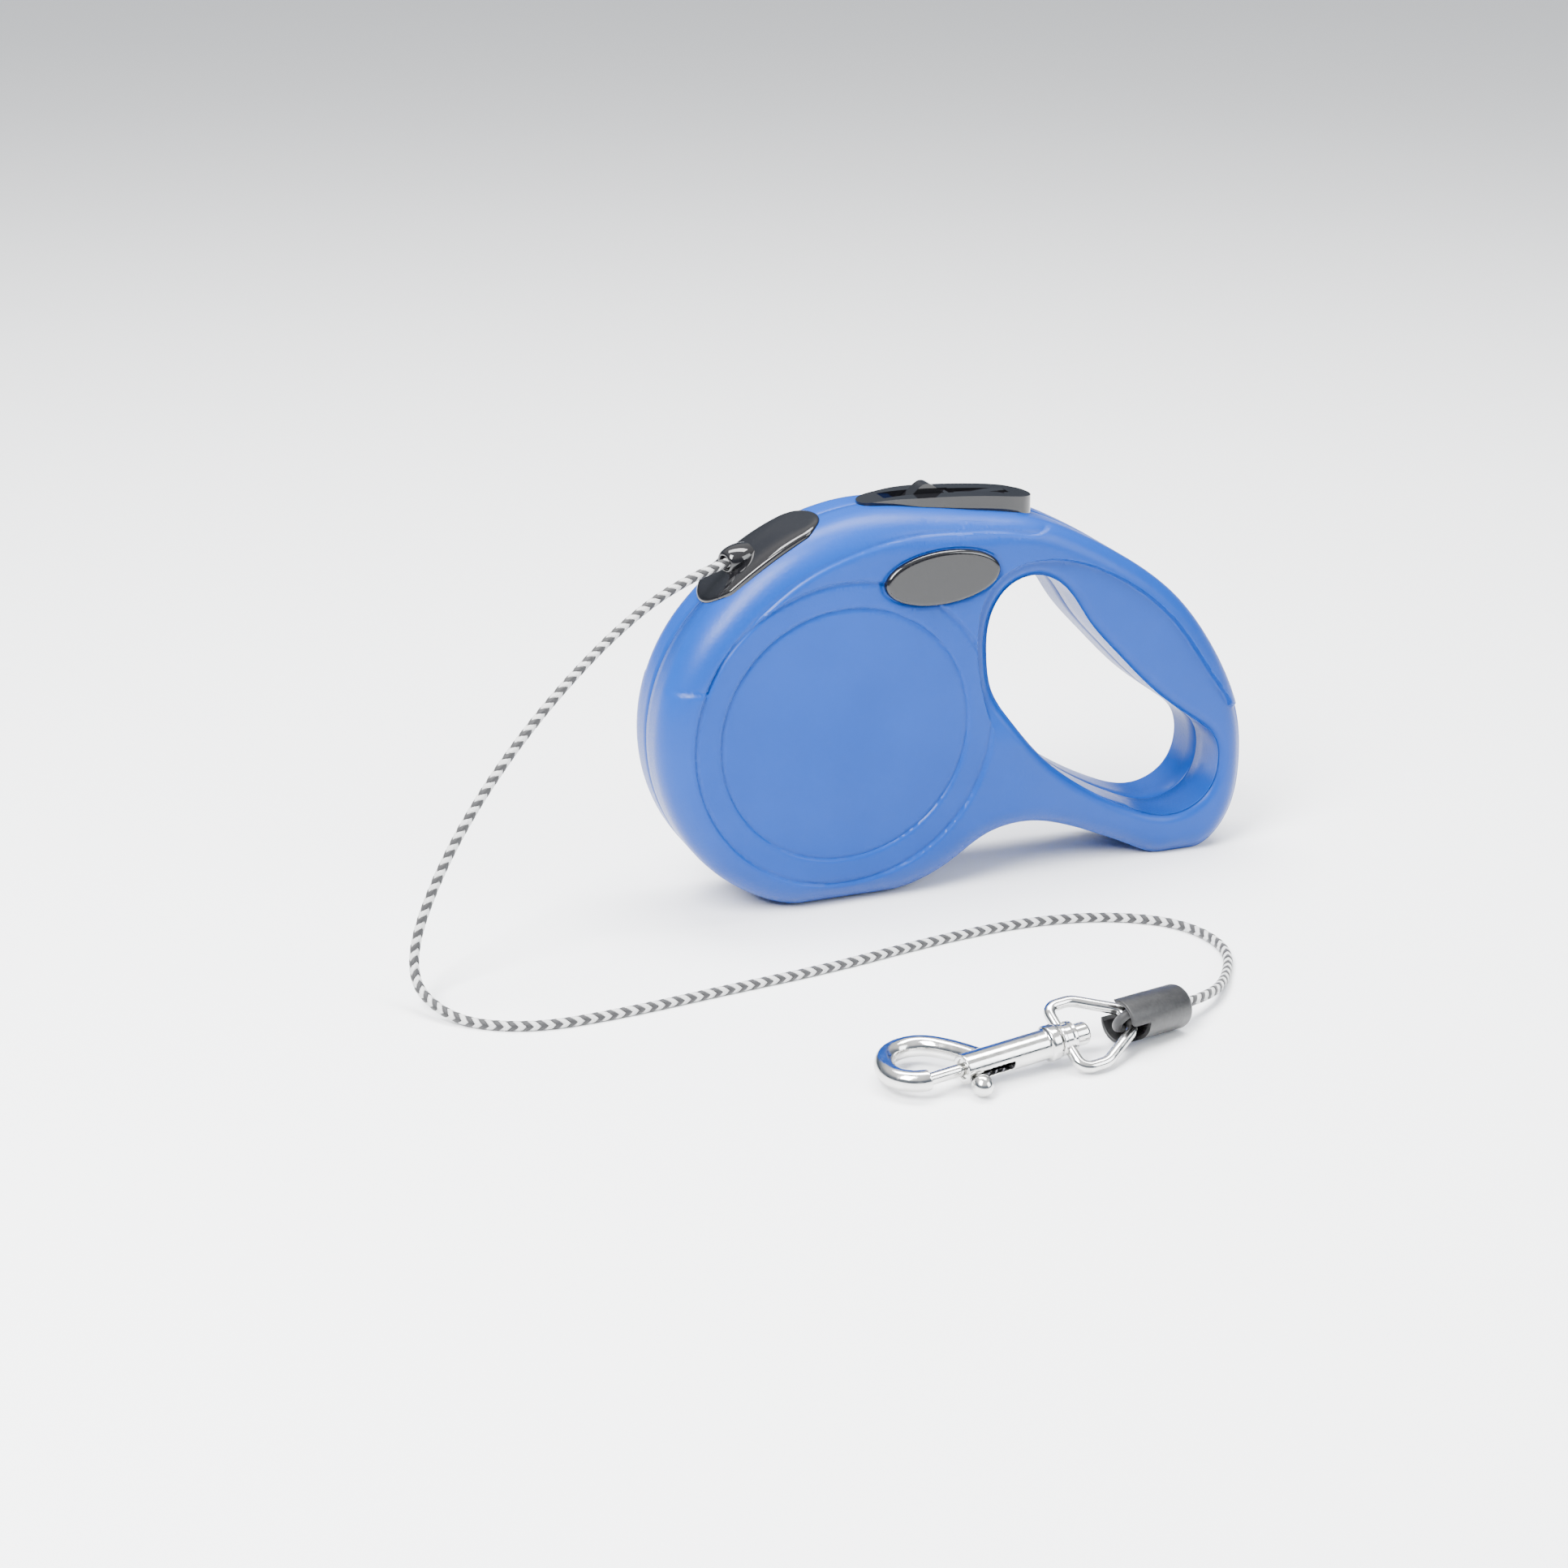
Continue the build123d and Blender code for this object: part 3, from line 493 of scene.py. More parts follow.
def inside(points, loop):
    x, z = points[:, 0], points[:, 1]
    result = np.zeros(len(points), bool)
    for (x0, z0), (x1, z1) in zip(loop, np.roll(loop, -1, 0)):
        if z0 != z1:
            cross = (z0 > z) != (z1 > z)
            result ^= cross & (x < (x1 - x0) * (z - z0) / (z1 - z0) + x0)
    return result


def signed(points, loop):
    return np.where(inside(points, loop), 1, -1) * nearest(points, loop)[0]


GRIP_AREA = np.vstack([STEP_CURVE, [(99, -5), (112, -9), (112, -60), (30, -60), (36, -12)]])
SADDLE_AREA = np.vstack([SADDLE_CURVE, [(47, 47.8), (45, 62), (-62, 62), (-62, 14)]])


def relief(points):
    """How deep the face lies below its plane: rings, panel steps and the dished grip."""
    x, z = points[:, 0], points[:, 1]
    r = np.hypot(x, z)
    grip = signed(points, GRIP_AREA)
    fade = np.maximum(smooth((z + 8) / 14), smooth((x - 42) / 36))
    depth = 1.9 * smooth(grip / 1.0 + 0.4) * fade
    band = 0.62 * smooth((36.4 - r) / 0.7) + 0.5 * np.exp(-((r - 36.1) / 0.38) ** 2)
    depth = np.maximum(depth, band)
    depth += 0.42 * smooth((30.2 - r) / 0.6) + 0.4 * np.exp(-((r - 29.9) / 0.32) ** 2)
    saddle = signed(points, SADDLE_AREA)
    depth += 0.5 * smooth(saddle / 0.7 + 0.5) + 0.25 * np.exp(-(saddle / 0.4) ** 2)
    local = points - BADGE_CENTRE
    cos_t, sin_t = math.cos(BADGE_TILT), math.sin(BADGE_TILT)
    local = np.stack([local[:, 0] * cos_t + local[:, 1] * sin_t,
                      local[:, 1] * cos_t - local[:, 0] * sin_t], 1)
    rim = (np.linalg.norm(local / BADGE_SIZE, axis=1) - 1) * 8
    return depth + 0.35 * np.exp(-((rim - 0.15) / 0.35) ** 2)


def shoulder(points):
    """How far the rounded edges fall below the face."""
    d, index = nearest(points, OUTER)
    rho = outer_round(OUTER[index, 0])
    gap = np.clip(rho - d, 0, rho)
    drop = rho - np.sqrt(np.maximum(rho ** 2 - gap ** 2, 0))
    d, index = nearest(points, OPENING)
    gap = np.clip(GRIP_ROUND - d, 0, GRIP_ROUND)
    return drop + GRIP_ROUND - np.sqrt(np.maximum(GRIP_ROUND ** 2 - gap ** 2, 0))


STRIP_TURN = 36.0
SEAM_GAP = 0.08
SEAM_CHAMFER = 0.22


def edge_strip(loop, normals, rho):
    """Rings of points from the parting plane round the edge, up to STRIP_TURN degrees."""
    rings = [(loop + normals * SEAM_CHAMFER, np.full(len(loop), SEAM_GAP)),
             (loop, np.full(len(loop), SEAM_GAP + SEAM_CHAMFER))]
    straight_end = CASE_HALF - rho
    for k in (0.35, 0.7):
        rings.append((loop, SEAM_GAP + SEAM_CHAMFER + k * (straight_end - SEAM_GAP
                                                           - SEAM_CHAMFER)))
    for turn in np.linspace(0, STRIP_TURN, 7):
        cos_t, sin_t = polar(1, turn)
        rings.append((loop + normals * (rho * (1 - cos_t))[:, None],
                      CASE_HALF - rho * (1 - sin_t)))
    return rings


def offset(curve, distance):
    ahead = np.gradient(curve, axis=0)
    ahead /= np.linalg.norm(ahead, axis=1)[:, None]
    return curve + np.stack([ahead[:, 1], -ahead[:, 0]], 1) * distance


def circle(radius, step=0.8):
    angles = np.linspace(0, 2 * math.pi, int(2 * math.pi * radius / step), endpoint=False)
    return radius * np.stack([np.cos(angles), np.sin(angles)], 1)


def badge_ring(scale):
    angles = np.linspace(0, 2 * math.pi, 110, endpoint=False)
    x, z = BADGE_SIZE[0] * scale * np.cos(angles), BADGE_SIZE[1] * scale * np.sin(angles)
    cos_t, sin_t = math.cos(BADGE_TILT), math.sin(BADGE_TILT)
    return BADGE_CENTRE + np.stack([x * cos_t - z * sin_t, x * sin_t + z * cos_t], 1)


def triangles(points, edges, keep_outer, keep_opening):
    verts, _, faces, _, _, _ = delaunay_2d_cdt([Vector(p) for p in points], edges, [], 0, 1e-5)
    flat = np.array([tuple(v) for v in verts])
    faces = [f for f in faces if len(f) == 3]
    middle = flat[np.array(faces)].mean(1)
    keep = inside(middle, keep_outer) & ~inside(middle, keep_opening)
    return flat, [f for f, k in zip(faces, keep) if k]


def loop_edges(first, count):
    return [(first + i, first + (i + 1) % count) for i in range(count)]


def face_mesh(outer_edge, opening_edge):
    """The face inside the two edge strips, with extra points along every line on it."""
    lines = []
    for closed_line in (circle(30.2), circle(29.9), circle(29.6), circle(29.2), circle(30.6),
                        circle(35.3), circle(35.7), circle(36.1), circle(36.5), circle(36.9),
                        badge_ring(0.98), badge_ring(1.02), badge_ring(1.06), badge_ring(1.1)):
        lines.append((closed_line, True))
    for distance in (-0.7, -0.35, 0, 0.35, 0.7):
        lines.append((offset(STEP_CURVE, distance), False))
        lines.append((offset(SADDLE_CURVE, distance), False))
    rho = outer_round(OUTER[:, 0])
    for turn in (45, 54, 63, 72, 81, 90):
        reach = 1 - polar(1, turn)[0]
        lines.append((OUTER + inward(OUTER) * (rho * reach)[:, None], True))
        lines.append((OPENING - inward(OPENING) * GRIP_ROUND * reach, True))
    points = [outer_edge, opening_edge]
    edges = loop_edges(0, len(outer_edge)) + loop_edges(len(outer_edge), len(opening_edge))
    total = len(outer_edge) + len(opening_edge)
    for curve, closed_line in lines:
        edges += loop_edges(total, len(curve)) if closed_line else [
            (total + i, total + i + 1) for i in range(len(curve) - 1)]
        points.append(curve)
        total += len(curve)
    gx, gz = np.meshgrid(np.arange(-44, 105, 1.1), np.arange(-43, 51, 1.1))
    gx = gx + 0.55 * (np.arange(gx.shape[0]) % 2)[:, None]
    grid = np.stack([gx.ravel(), gz.ravel()], 1)
    grid = grid[signed(grid, outer_edge) > 0.5]
    grid = grid[signed(grid, opening_edge) < -0.5]
    points.append(grid)
    return triangles(np.vstack(points), edges, outer_edge, opening_edge)


def shell_skin():
    """Points (x, y, z) and faces of the front half's closed skin, y below 0."""
    rho = outer_round(OUTER[:, 0])
    strips = [(edge_strip(OUTER, inward(OUTER), rho), False),
              (edge_strip(OPENING, -inward(OPENING), np.full(len(OPENING), GRIP_ROUND)), True)]
    verts, faces = [], []
    for rings, flip in strips:
        count = len(rings[0][0])
        for k, (flat, deep) in enumerate(rings):
            sink = relief(flat) * smooth((k - 3) / (len(rings) - 4)) if k > 3 else 0
            first = len(verts)
            verts.extend(zip(flat[:, 0], -(deep - sink), flat[:, 1]))
            if k:
                for i in range(count):
                    j = (i + 1) % count
                    quad = (first - count + i, first - count + j, first + j, first + i)
                    faces.append(quad[::-1] if flip else quad)
    outer_edge = strips[0][0][-1][0]
    opening_edge = strips[1][0][-1][0]
    flat, tris = face_mesh(outer_edge, opening_edge)
    deep = CASE_HALF - shoulder(flat) - relief(flat)
    first = len(verts)
    verts.extend(zip(flat[:, 0], -deep, flat[:, 1]))
    faces.extend(tuple(first + i for i in f) for f in tris)
    outer_seam = strips[0][0][0][0]
    opening_seam = strips[1][0][0][0]
    seam = np.vstack([outer_seam, opening_seam])
    edges = loop_edges(0, len(outer_seam)) + loop_edges(len(outer_seam), len(opening_seam))
    flat, tris = triangles(seam, edges, outer_seam, opening_seam)
    first = len(verts)
    verts.extend((x, -SEAM_GAP, z) for x, z in flat)
    faces.extend(tuple(first + i for i in f) for f in tris)
    return np.array(verts), faces


def home(verts):
    """From millimetres about the reel axis to metres in the row frame."""
    return (np.asarray(verts) + (REEL_X, 0, REEL_Z)) * MM


def prism(name, outline, low, high, axis):
    """A closed prism over an outline, along Y (outline in x, z) or Z (outline in x, y)."""
    count = len(outline)
    if axis == "Y":
        rows = [[(x, h, z) for x, z in outline] for h in (low, high)]
    else:
        rows = [[(x, y, h) for x, y in outline] for h in (low, high)]
    faces = [tuple(range(count)), tuple(range(count, 2 * count))[::-1]]
    faces += [(i, i + count, (i + 1) % count + count, (i + 1) % count) for i in range(count)]
    piece = add_mesh(name, home(rows[0] + rows[1]), faces, [], smooth_faces=False)
    mesh = bmesh.new()
    mesh.from_mesh(piece.data)
    bmesh.ops.recalc_face_normals(mesh, faces=mesh.faces)
    mesh.to_mesh(piece.data)
    mesh.free()
    return piece


def key_plan(grow):
    """Plan of the brake key, as in the CAD model."""
    half, nose, heel = 6.0 + grow, 7.2 - grow, 49.6 + grow
    near = np.vstack([
        spline_through([(nose, 0), (nose + 5.5, -0.72 * half), (nose + 15, -half)], -90, 0),
        straight((nose + 15, -half), (heel - 9, -half), 4),
        spline_through([(heel - 9, -half), (heel - 2.2, -0.74 * half), (heel, 0)], 0, 90)])
    return np.vstack([near, [(heel, 0)], (near * (1, -1))[:0:-1]])


def cutters():
    """Closed shapes of the room that both shells leave for what is inside them."""
    plan = key_plan(0.55)
    deep = plan[plan[:, 0] > 30.5]
    cut = [prism("cut_chamber", circle(CHAMBER_RADIUS, 3.0), -INSIDE, INSIDE, "Y"),
           prism("cut_key", plan, 43.6, 60, "Z"),
           prism("cut_heel", deep, 40.2, 44, "Z"),
           prism("cut_hub", circle(2.65, 0.5) + (10.6, 46.4), -4.85, 4.85, "Y"),
           prism("cut_leg", [(32.0, 33.6), (40.4, 33.6), (40.4, 41), (32.0, 41)], -2.6, 6.0, "Y")]
    along, across = np.array(polar(1, 45)), np.array(polar(1, 135))
    bar = [along * r + across * w for r, w in ((33, -1.6), (54, -1.6), (54, 1.6), (33, 1.6))]
    cut.append(prism("cut_pawl", bar, 0.2, 3.2, "Y"))
    return cut


def subtract(piece, cuts):
    for cut in cuts:
        modifier = piece.modifiers.new(cut.name, "BOOLEAN")
        modifier.operation = "DIFFERENCE"
        modifier.solver = "MANIFOLD"
        modifier.object = cut
    bpy.context.view_layer.update()
    evaluated = piece.evaluated_get(bpy.context.evaluated_depsgraph_get())
    mesh = bpy.data.meshes.new_from_object(evaluated)
    piece.modifiers.clear()
    old = piece.data
    piece.data = mesh
    bpy.data.meshes.remove(old)


def casing_shell(name, side, skin, cuts):
    """One half of the casing. side is -1 for the front and 1 for the rear."""
    verts, faces = skin
    verts = verts * (1, -side, 1)
    piece = add_mesh(name, home(verts), faces, [BLUE])
    mesh = bmesh.new()
    mesh.from_mesh(piece.data)
    bmesh.ops.remove_doubles(mesh, verts=mesh.verts, dist=2e-6)
    bmesh.ops.recalc_face_normals(mesh, faces=mesh.faces)
    open_edges = sum(1 for edge in mesh.edges if not edge.is_manifold)
    print(name, "faces", len(mesh.faces), "open edges", open_edges)
    mesh.to_mesh(piece.data)
    mesh.free()
    subtract(piece, cuts)
    print(name, "after cuts", len(piece.data.polygons))
    shade_smooth(piece)
    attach(piece, "casing")
    return piece


def shade_smooth(piece):
    """Smooth shading, with sharp cuts."""
    mesh = piece.data
    mesh.polygons.foreach_set("use_smooth", np.ones(len(mesh.polygons), bool))
    mesh.set_sharp_from_angle(angle=math.radians(50))


skin = shell_skin()
cuts = cutters()
front = casing_shell("casing_front", -1, skin, cuts)
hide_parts("front_shell")
for x, z in ((0.5, 44.4), (57.5, 35.6), (45.0, -19.5), (88.0, -36.6)):
    cuts.append(prism("cut_screw", circle(2.25, 0.4) + (x, z), 11.8, 16, "Y"))
rear = casing_shell("casing_rear", 1, skin, cuts)
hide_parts("rear_shell")
for cut in cuts:
    bpy.data.objects.remove(cut)


# ---- nozzle plate -------------------------------------------------------------------
def on_rim(along, across, height):
    """A point above the casing's rim. along is measured on the outline from the plate's middle."""
    steps = np.linalg.norm(np.diff(OUTER, axis=0, append=OUTER[:1]), axis=1)
    length = np.concatenate([[0], np.cumsum(steps)[:-1]])
    middle = length[nearest(np.array([(-17.2, 41.8)]), OUTER)[1][0]]
    normal = inward(OUTER)
    x, z, nx, nz = (np.interp(middle + along, length, values)
                    for values in (OUTER[:, 0], OUTER[:, 1], normal[:, 0], normal[:, 1]))
    rho = outer_round(x)
    sin_t = max(0.0, (abs(across) - (CASE_HALF - rho)) / rho)
    cos_t = math.sqrt(1 - sin_t ** 2)
    rise = height * cos_t - rho * (1 - cos_t)
    return (x - nx * rise, across + math.copysign(height * sin_t, across), z - nz * rise)


def nozzle_plate():
    """A glossy stadium that wraps over the rim."""
    long_half, radius = 16.5, 9.0
    straight_half = long_half - radius
    profile = [(0.0, 0.78), (0.2, 0.78), (0.4, 0.78), (0.6, 0.78), (0.75, 0.78), (0.86, 0.78),
               (0.92, 0.77), (0.955, 0.7), (0.98, 0.56), (0.995, 0.35), (1.0, 0.1), (1.0, -0.4)]
    count = 144
    edge = []
    for i in range(count):
        turn = 360 * i / count
        x, y = polar(radius, turn)
        edge.append((x + math.copysign(straight_half, x) * min(1, abs(x) / (radius * 0.35)), y))
    verts, faces = [], []
    for scale, height in profile:
        verts += [on_rim(x * max(scale, 0.02), y * max(scale, 0.02), height) for x, y in edge]
    for k in range(len(profile) - 1):
        for i in range(count):
            j = (i + 1) % count
            faces.append((k * count + i, k * count + j, (k + 1) * count + j, (k + 1) * count + i))
    faces.append(tuple(range(count))[::-1])
    last = (len(profile) - 1) * count
    faces.append(tuple(last + i for i in range(count)))
    return home(verts), faces


def lathe(profile, origin, axis, count=64, squeeze=(1.0, 1.0)):
    """A closed turned shape. The profile is (along, radius) in metres."""
    axis = Vector(axis).normalized()
    side = axis.cross(Vector((0, 0, 1))).normalized()
    up = side.cross(axis)
    verts, faces = [], []
    for along, radius in profile:
        for i in range(count):
            cos_i, sin_i = polar(radius, 360 * i / count)
            around = side * cos_i * squeeze[0] + up * sin_i * squeeze[1]
            verts.append(origin + axis * along + around)
    for k in range(len(profile) - 1):
        for i in range(count):
            j = (i + 1) % count
            faces.append((k * count + i, k * count + j, (k + 1) * count + j, (k + 1) * count + i))
    faces.append(tuple(range(count))[::-1])
    last = (len(profile) - 1) * count
    faces.append(tuple(last + i for i in range(count)))
    return verts, faces


def hood():
    """The rounded funnel that the cord comes out of."""
    profile = [(-6.0, 3.5), (-4.6, 3.8), (-3.4, 3.85), (-2.2, 3.75), (-1.2, 3.5), (-0.4, 3.15),
               (0.1, 2.8), (0.35, 2.45), (0.35, 2.1), (0.1, 1.8), (-0.5, 1.6), (-1.4, 1.45),
               (-2.6, 1.4), (-3.2, 1.3)]
    return lathe([(a * MM, r * MM) for a, r in profile], EYELET, CORD_OUT, squeeze=(1.0, 0.86))


def fixed_normals(piece):
    mesh = bmesh.new()
    mesh.from_mesh(piece.data)
    bmesh.ops.recalc_face_normals(mesh, faces=mesh.faces)
    mesh.to_mesh(piece.data)
    mesh.free()
    piece.data.set_sharp_from_angle(angle=math.radians(55))


nozzle = add_mesh("nozzle", *nozzle_plate(), [GLOSS])
fixed_normals(nozzle)
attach(nozzle, "casing")
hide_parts("nozzle_plate")
funnel = add_mesh("cord_funnel", *hood(), [GLOSS])
fixed_normals(funnel)
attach(funnel, "casing")
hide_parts("cord_eyelet")


# ---- hook, ring, knob and sleeve, smooth, in millimetres about their own frames -------
def local_frame(origin, turn, pitch, roll=0.0):
    """Millimetres in a frame with x turned about Z, pitched up and rolled, to metres."""
    cos_t, sin_t = polar(1, turn)
    cos_p, sin_p = polar(1, pitch)
    x = Vector((cos_t * cos_p, sin_t * cos_p, sin_p))
    z = Vector((-cos_t * sin_p, -sin_t * sin_p, cos_p))
    y = z.cross(x)
    cos_r, sin_r = polar(1, roll)
    y, z = y * cos_r + z * sin_r, z * cos_r - y * sin_r
    axes = Matrix((x, y, z)).transposed().to_4x4()
    return Matrix.Translation(Vector(origin) * MM) @ axes @ Matrix.Scale(MM, 4)


def sweep(path, flat_half, deep_half, closed=False, count=24):
    """An elliptical wire along a path in the local x, y plane."""
    path = np.asarray(path, float)
    if closed:
        ahead = np.roll(path, -1, 0) - np.roll(path, 1, 0)
    else:
        ahead = np.gradient(path, axis=0)
    ahead /= np.linalg.norm(ahead, axis=1)[:, None]
    flat_half = np.broadcast_to(flat_half, len(path))
    deep_half = np.broadcast_to(deep_half, len(path))
    verts, faces = [], []
    for (x, y), (dx, dy), a, b in zip(path, ahead, flat_half, deep_half):
        for k in range(count):
            cos_k, sin_k = polar(1, 360 * k / count)
            verts.append((x - dy * a * cos_k, y + dx * a * cos_k, b * sin_k))
    n = len(path)
    for i in range(n if closed else n - 1):
        for k in range(count):
            m = (k + 1) % count
            j = (i + 1) % n
            faces.append((i * count + k, i * count + m, j * count + m, j * count + k))
    if not closed:
        faces.append(tuple(range(count))[::-1])
        faces.append(tuple((n - 1) * count + k for k in range(count)))
    return verts, faces


def turned(profile, axis="x", count=64):
    """A closed turned shape about a local axis. The profile is (along, radius)."""
    verts, faces = [], []
    for along, radius in profile:
        for i in range(count):
            u, v = polar(max(radius, 0.01), 360 * i / count)
            verts.append((along, u, v) if axis == "x" else (v, along, u))
    for k in range(len(profile) - 1):
        for i in range(count):
            j = (i + 1) % count
            faces.append((k * count + i, k * count + j, (k + 1) * count + j, (k + 1) * count + i))
    faces.append(tuple(range(count))[::-1])
    last = (len(profile) - 1) * count
    faces.append(tuple(last + i for i in range(count)))
    return verts, faces


def rod(radius, low, high):
    return turned([(low, radius), (high, radius)])


def block(x0, x1, y0, y1, z0, z1):
    verts = [(x, y, z) for x in (x0, x1) for y in (y0, y1) for z in (z0, z1)]
    faces = [(0, 1, 3, 2), (4, 6, 7, 5), (0, 4, 5, 1), (2, 3, 7, 6), (0, 2, 6, 4), (1, 5, 7, 3)]
    return verts, faces


def rounded(corners, radii, step=9):
    """A closed polygon with its corners rounded."""
    out = []
    count = len(corners)
    for i, radius in enumerate(radii):
        here = np.array(corners[i], float)
        before = np.array(corners[i - 1], float) - here
        after = np.array(corners[(i + 1) % count], float) - here
        before /= np.linalg.norm(before)
        after /= np.linalg.norm(after)
        half = math.acos(np.clip(before @ after, -1, 1)) / 2
        middle = here + (before + after) / np.linalg.norm(before + after) * radius / math.sin(half)
        first = here + before * radius / math.tan(half) - middle
        last = here + after * radius / math.tan(half) - middle
        sweep_angle = math.pi - 2 * half
        side_turn = math.copysign(1, first[0] * last[1] - first[1] * last[0])
        for k in range(step + 1):
            angle = side_turn * sweep_angle * k / step
            c, d = math.cos(angle), math.sin(angle)
            out.append(middle + (first[0] * c - first[1] * d, first[0] * d + first[1] * c))
    return spread(np.array(out))


def spread(loop, step=0.5):
    """Even points along a closed loop."""
    ring = np.vstack([loop, loop[:1]])
    along = np.concatenate([[0], np.cumsum(np.linalg.norm(np.diff(ring, axis=0), axis=1))])
    even = np.linspace(0, along[-1], int(along[-1] / step), endpoint=False)
    return np.stack([np.interp(even, along, ring[:, k]) for k in range(2)], 1)


def local_piece(name, shape, place, turn_x=0.0):
    verts, faces = shape
    tilt = Matrix.Rotation(math.radians(turn_x), 4, "X")
    piece = add_mesh(name, [place @ tilt @ Vector(v) for v in verts], faces, [NICKEL])
    mesh = bmesh.new()
    mesh.from_mesh(piece.data)
    bmesh.ops.recalc_face_normals(mesh, faces=mesh.faces)
    mesh.to_mesh(piece.data)
    mesh.free()
    return piece


def carve(piece, joined, cut):
    """Joins and cuts closed pieces, and takes them away afterwards."""
    for other, operation in [(o, "UNION") for o in joined] + [(o, "DIFFERENCE") for o in cut]:
        modifier = piece.modifiers.new(other.name, "BOOLEAN")
        modifier.operation = operation
        modifier.solver = "MANIFOLD"
        modifier.object = other
    bpy.context.view_layer.update()
    evaluated = piece.evaluated_get(bpy.context.evaluated_depsgraph_get())
    mesh = bpy.data.meshes.new_from_object(evaluated)
    piece.modifiers.clear()
    old = piece.data
    piece.data = mesh
    bpy.data.meshes.remove(old)
    for other in joined + cut:
        bpy.data.objects.remove(other)
    mesh.polygons.foreach_set("use_smooth", np.ones(len(mesh.polygons), bool))
    mesh.set_sharp_from_angle(angle=math.radians(38))
    return piece


def finish_piece(piece, node, body, slot):
    piece.data.materials.clear()
    piece.data.materials.append(CAD_FINISH[slot])
    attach(piece, body)
    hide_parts(node)


HOOK_AT = (-18.2, -103.5, 5.6)
HOOK = local_frame(HOOK_AT, 7.5, 3.0)
RING = local_frame(HOOK_AT, 7.5, 3.0, 30.0)
SLEEVE = Matrix.Translation(-SLEEVE_OUT * 15.5 * MM) @ local_frame(SLEEVE_REAR / MM, 20.0, -5.78)
BARREL_MOUTH = -24.4
STEM_X = BARREL_MOUTH + 0.5 + 1.3     # the knob's stem
SMOOTH_VOXEL = 0.16


def smooth_hook():
    """The hook stays the CAD's: fine voxels and smoothing take its facets away."""
    piece = frame["nodes"]["hook_body"]
    fine = piece.modifiers.new("fine", "REMESH")
    fine.mode = "VOXEL"
    fine.voxel_size = SMOOTH_VOXEL * MM
    fine.use_smooth_shade = True
    even = piece.modifiers.new("even", "SMOOTH")
    even.factor = 0.5
    even.iterations = 10


def ring_mesh():
    path = rounded([(0, -8), (0, 8), (6, 8), (15.5, 2.6), (15.5, -2.6), (6, -8)],
                   [2.4, 2.4, 5.0, 2.4, 2.4, 5.0])
    ring = local_piece("ring_shape", sweep(path, 1.25, 1.25, True), RING)
    boss = local_piece("ring_boss", turned([
        (-1.9, 2.8), (-1.8, 3.15), (-1.5, 3.4), (-0.9, 3.4), (-0.6, 3.1), (0.6, 3.1), (0.9, 3.4),
        (1.5, 3.4), (1.8, 3.15), (1.9, 2.8)]), RING)
    bore = local_piece("cut_boss", rod(1.56, -9, 9), RING)
    finish_piece(carve(ring, [boss], [bore]), "swivel_ring", "swivel_ring", "nickel")


def knob_mesh():
    """A mushroom knob on its stem, towards local -y."""
    profile = [(-1.94, 0.75), (-3.55, 0.75), (-3.6, 1.0), (-3.75, 1.5), (-4.15, 1.95),
               (-4.7, 2.17), (-5.3, 2.2), (-6.0, 2.12), (-6.7, 1.85), (-7.3, 1.35), (-7.65, 0.75),
               (-7.8, 0.2)]
    verts, faces = turned(profile, "y", 40)
    shape = ([(x + STEM_X, y, z) for x, y, z in verts], faces)
    knob = local_piece("knob_shape", shape, HOOK, 20)
    knob.data.set_sharp_from_angle(angle=math.radians(50))
    finish_piece(knob, "bolt_knob", "bolt", "nickel")


def sleeve_mesh():
    """Rubber tube with a rounded rear, open and slotted towards the ring."""
    tube = local_piece("sleeve_shape", turned([
        (13.5, 0.05), (13.5, 3.9), (-2.85, 3.95), (-3.0, 4.15), (-3.0, 4.5), (-2.85, 4.7),
        (-2.6, 4.75), (14.4, 4.75), (15.0, 4.6), (15.35, 4.25), (15.5, 3.7), (15.5, 0.05)]), SLEEVE)
    half = 1.25 + 1.6
    cut = local_piece("cut_mouth", block(-4.0, 2.15, -9, 9, -half, half), SLEEVE, 30)
    finish_piece(carve(tube, [], [cut]), "end_sleeve", "casing", "rubber_black")


smooth_hook()
ring_mesh()
knob_mesh()
sleeve_mesh()


# ---- CAD nodes that stay ------------------------------------------------------------
def soften(node, width, angle=35):
    """Rounds a CAD node's edges a little."""
    piece = frame["nodes"][node]
    bevel = piece.modifiers.new("edges", "BEVEL")
    bevel.width = width * MM
    bevel.segments = 3
    bevel.limit_method = "ANGLE"
    bevel.angle_limit = math.radians(angle)
    bevel.harden_normals = False


soften("lock_slider", 0.35)
soften("brake_key", 0.7, 50)
for node in frame["nodes"].values():
    node.data.set_sharp_from_angle(angle=math.radians(35))


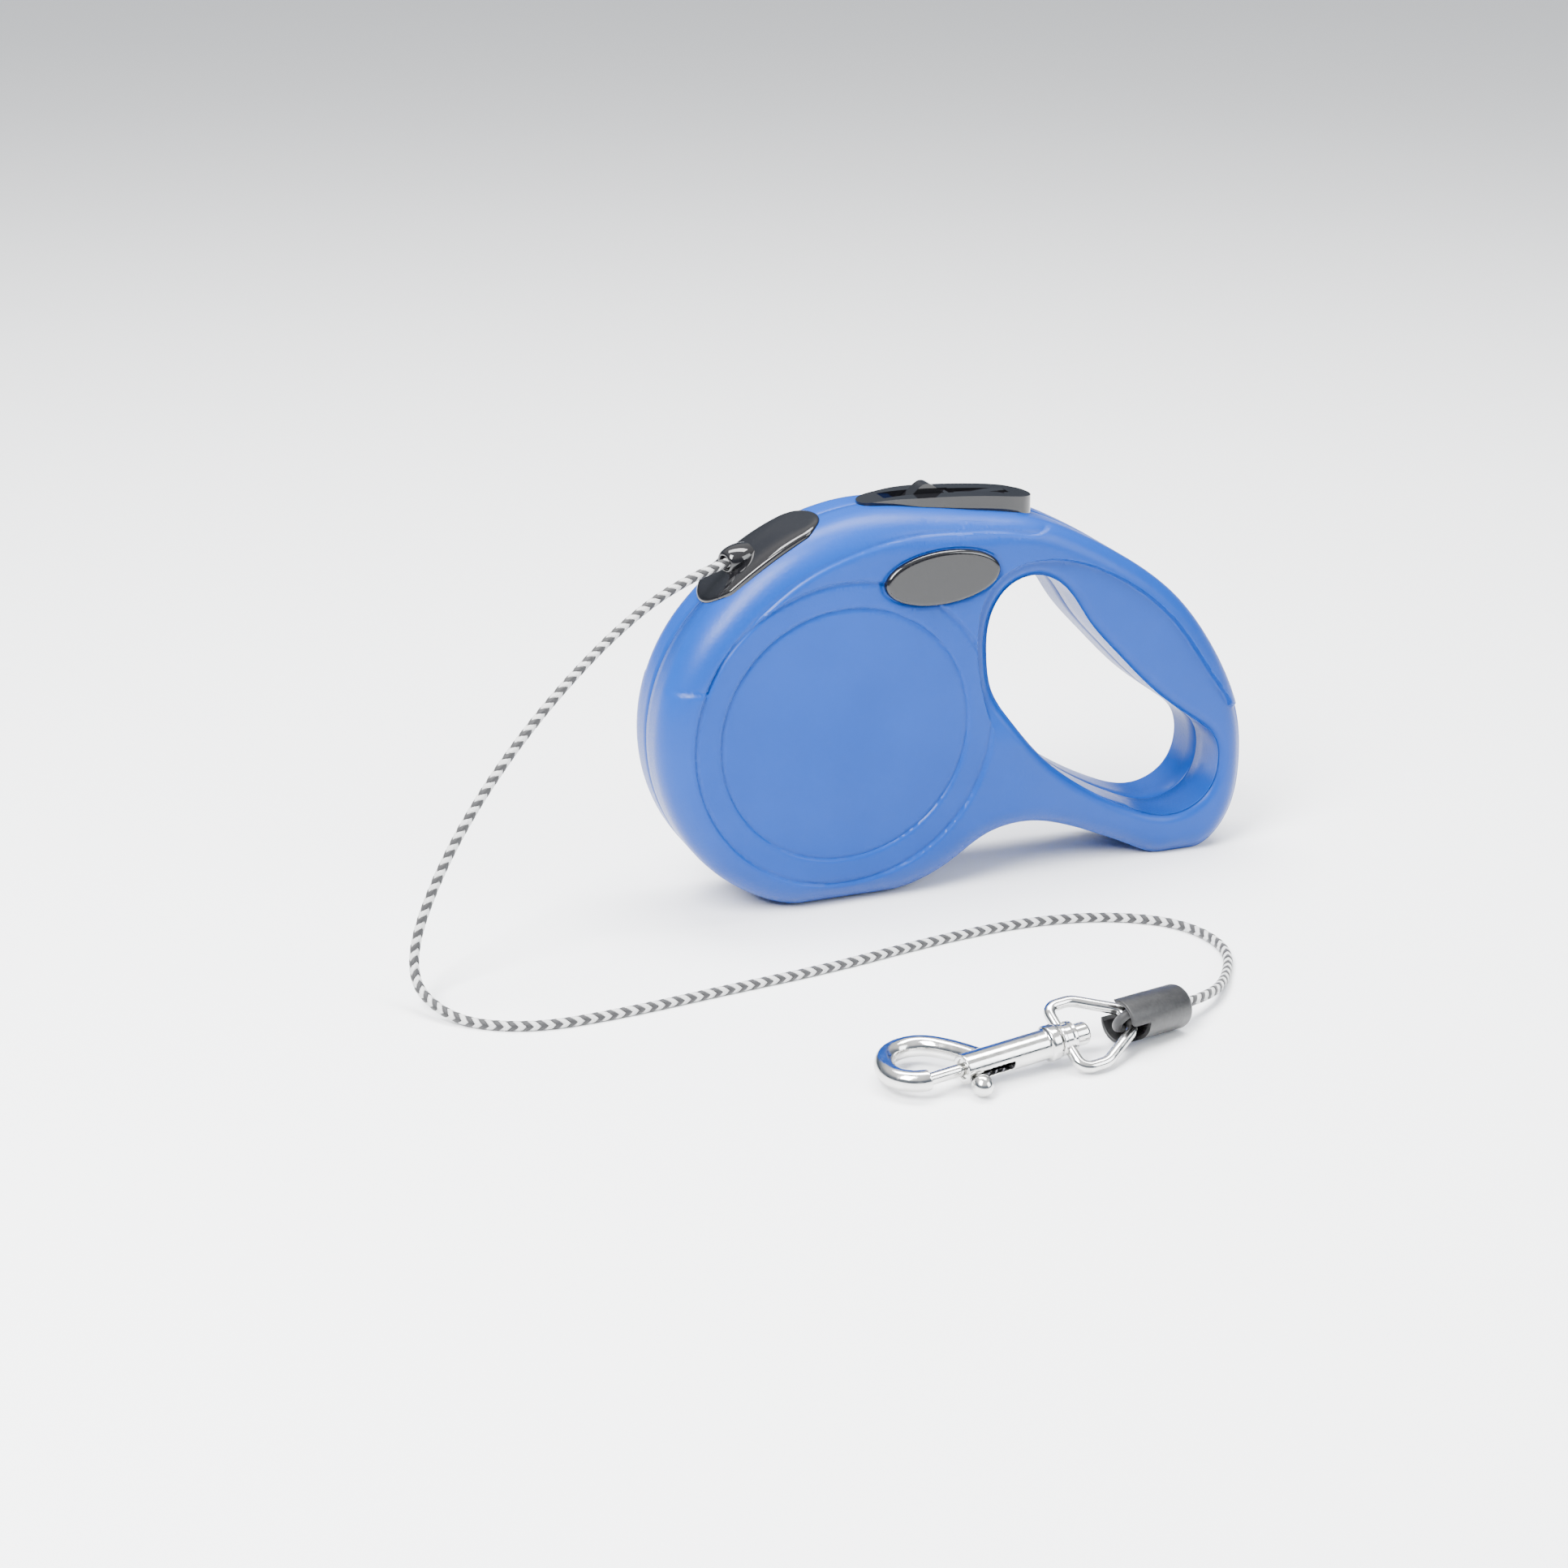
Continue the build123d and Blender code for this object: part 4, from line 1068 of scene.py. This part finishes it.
# ---- floor and light ----------------------------------------------------------------
def add_floor():
    paint = Paint("floor", (0.90, 0.905, 0.91), 0.35, Specular_IOR_Level=0.15)
    paint.mix(paint.ramp(paint.noise(3, 2), 0.0, 1.0), (0.895, 0.90, 0.905), (0.905, 0.91, 0.915))
    size = 3.0
    corners = [(-size, -size, 0), (size, -size, 0), (size, size, 0), (-size, size, 0)]
    floor = add_mesh("floor", corners, [(0, 1, 2, 3)], [paint.material])


def add_light(name, place, power, size, color=(1, 1, 1)):
    data = bpy.data.lights.new(name, "AREA")
    data.energy = power
    data.shape = "RECTANGLE"
    data.size, data.size_y = size
    data.color = color
    light = bpy.data.objects.new(name, data)
    bpy.context.collection.objects.link(light)
    light.location = place
    light.rotation_euler = (CENTRE - Vector(place)).to_track_quat("-Z", "Y").to_euler()


def add_world():
    """White overhead, darker towards the horizon, so that polished pieces have contrast."""
    world = bpy.data.worlds.new("studio")
    world.use_nodes = True
    background = world.node_tree.nodes["Background"]
    nodes, links = world.node_tree.nodes, world.node_tree.links
    split = nodes.new("ShaderNodeSeparateXYZ")
    links.new(nodes.new("ShaderNodeTexCoord").outputs["Generated"], split.inputs[0])
    ramp = nodes.new("ShaderNodeValToRGB")
    stops = ((0.0, (0.55, 0.6, 0.68)), (0.12, (0.10, 0.12, 0.15)), (0.42, (0.30, 0.34, 0.4)),
             (0.62, (1.0, 1.0, 1.0)), (1.0, (1.25, 1.27, 1.3)))
    while len(ramp.color_ramp.elements) < len(stops):
        ramp.color_ramp.elements.new(0.5)
    for stop, (at, color) in zip(ramp.color_ramp.elements, stops):
        stop.position = at
        stop.color = (*color, 1)
    links.new(split.outputs["Z"], ramp.inputs["Fac"])
    links.new(ramp.outputs["Color"], background.inputs["Color"])
    background.inputs["Strength"].default_value = 1.15
    bpy.context.scene.world = world


add_floor()
add_world()
add_light("key", (-0.55, -0.35, 0.75), 32.0, (0.35, 0.6))
add_light("fill", (0.7, -0.7, 0.55), 11.0, (0.6, 0.6), (0.95, 0.98, 1.0))
add_light("top", (0.05, 0.15, 0.9), 24.0, (0.9, 0.3))
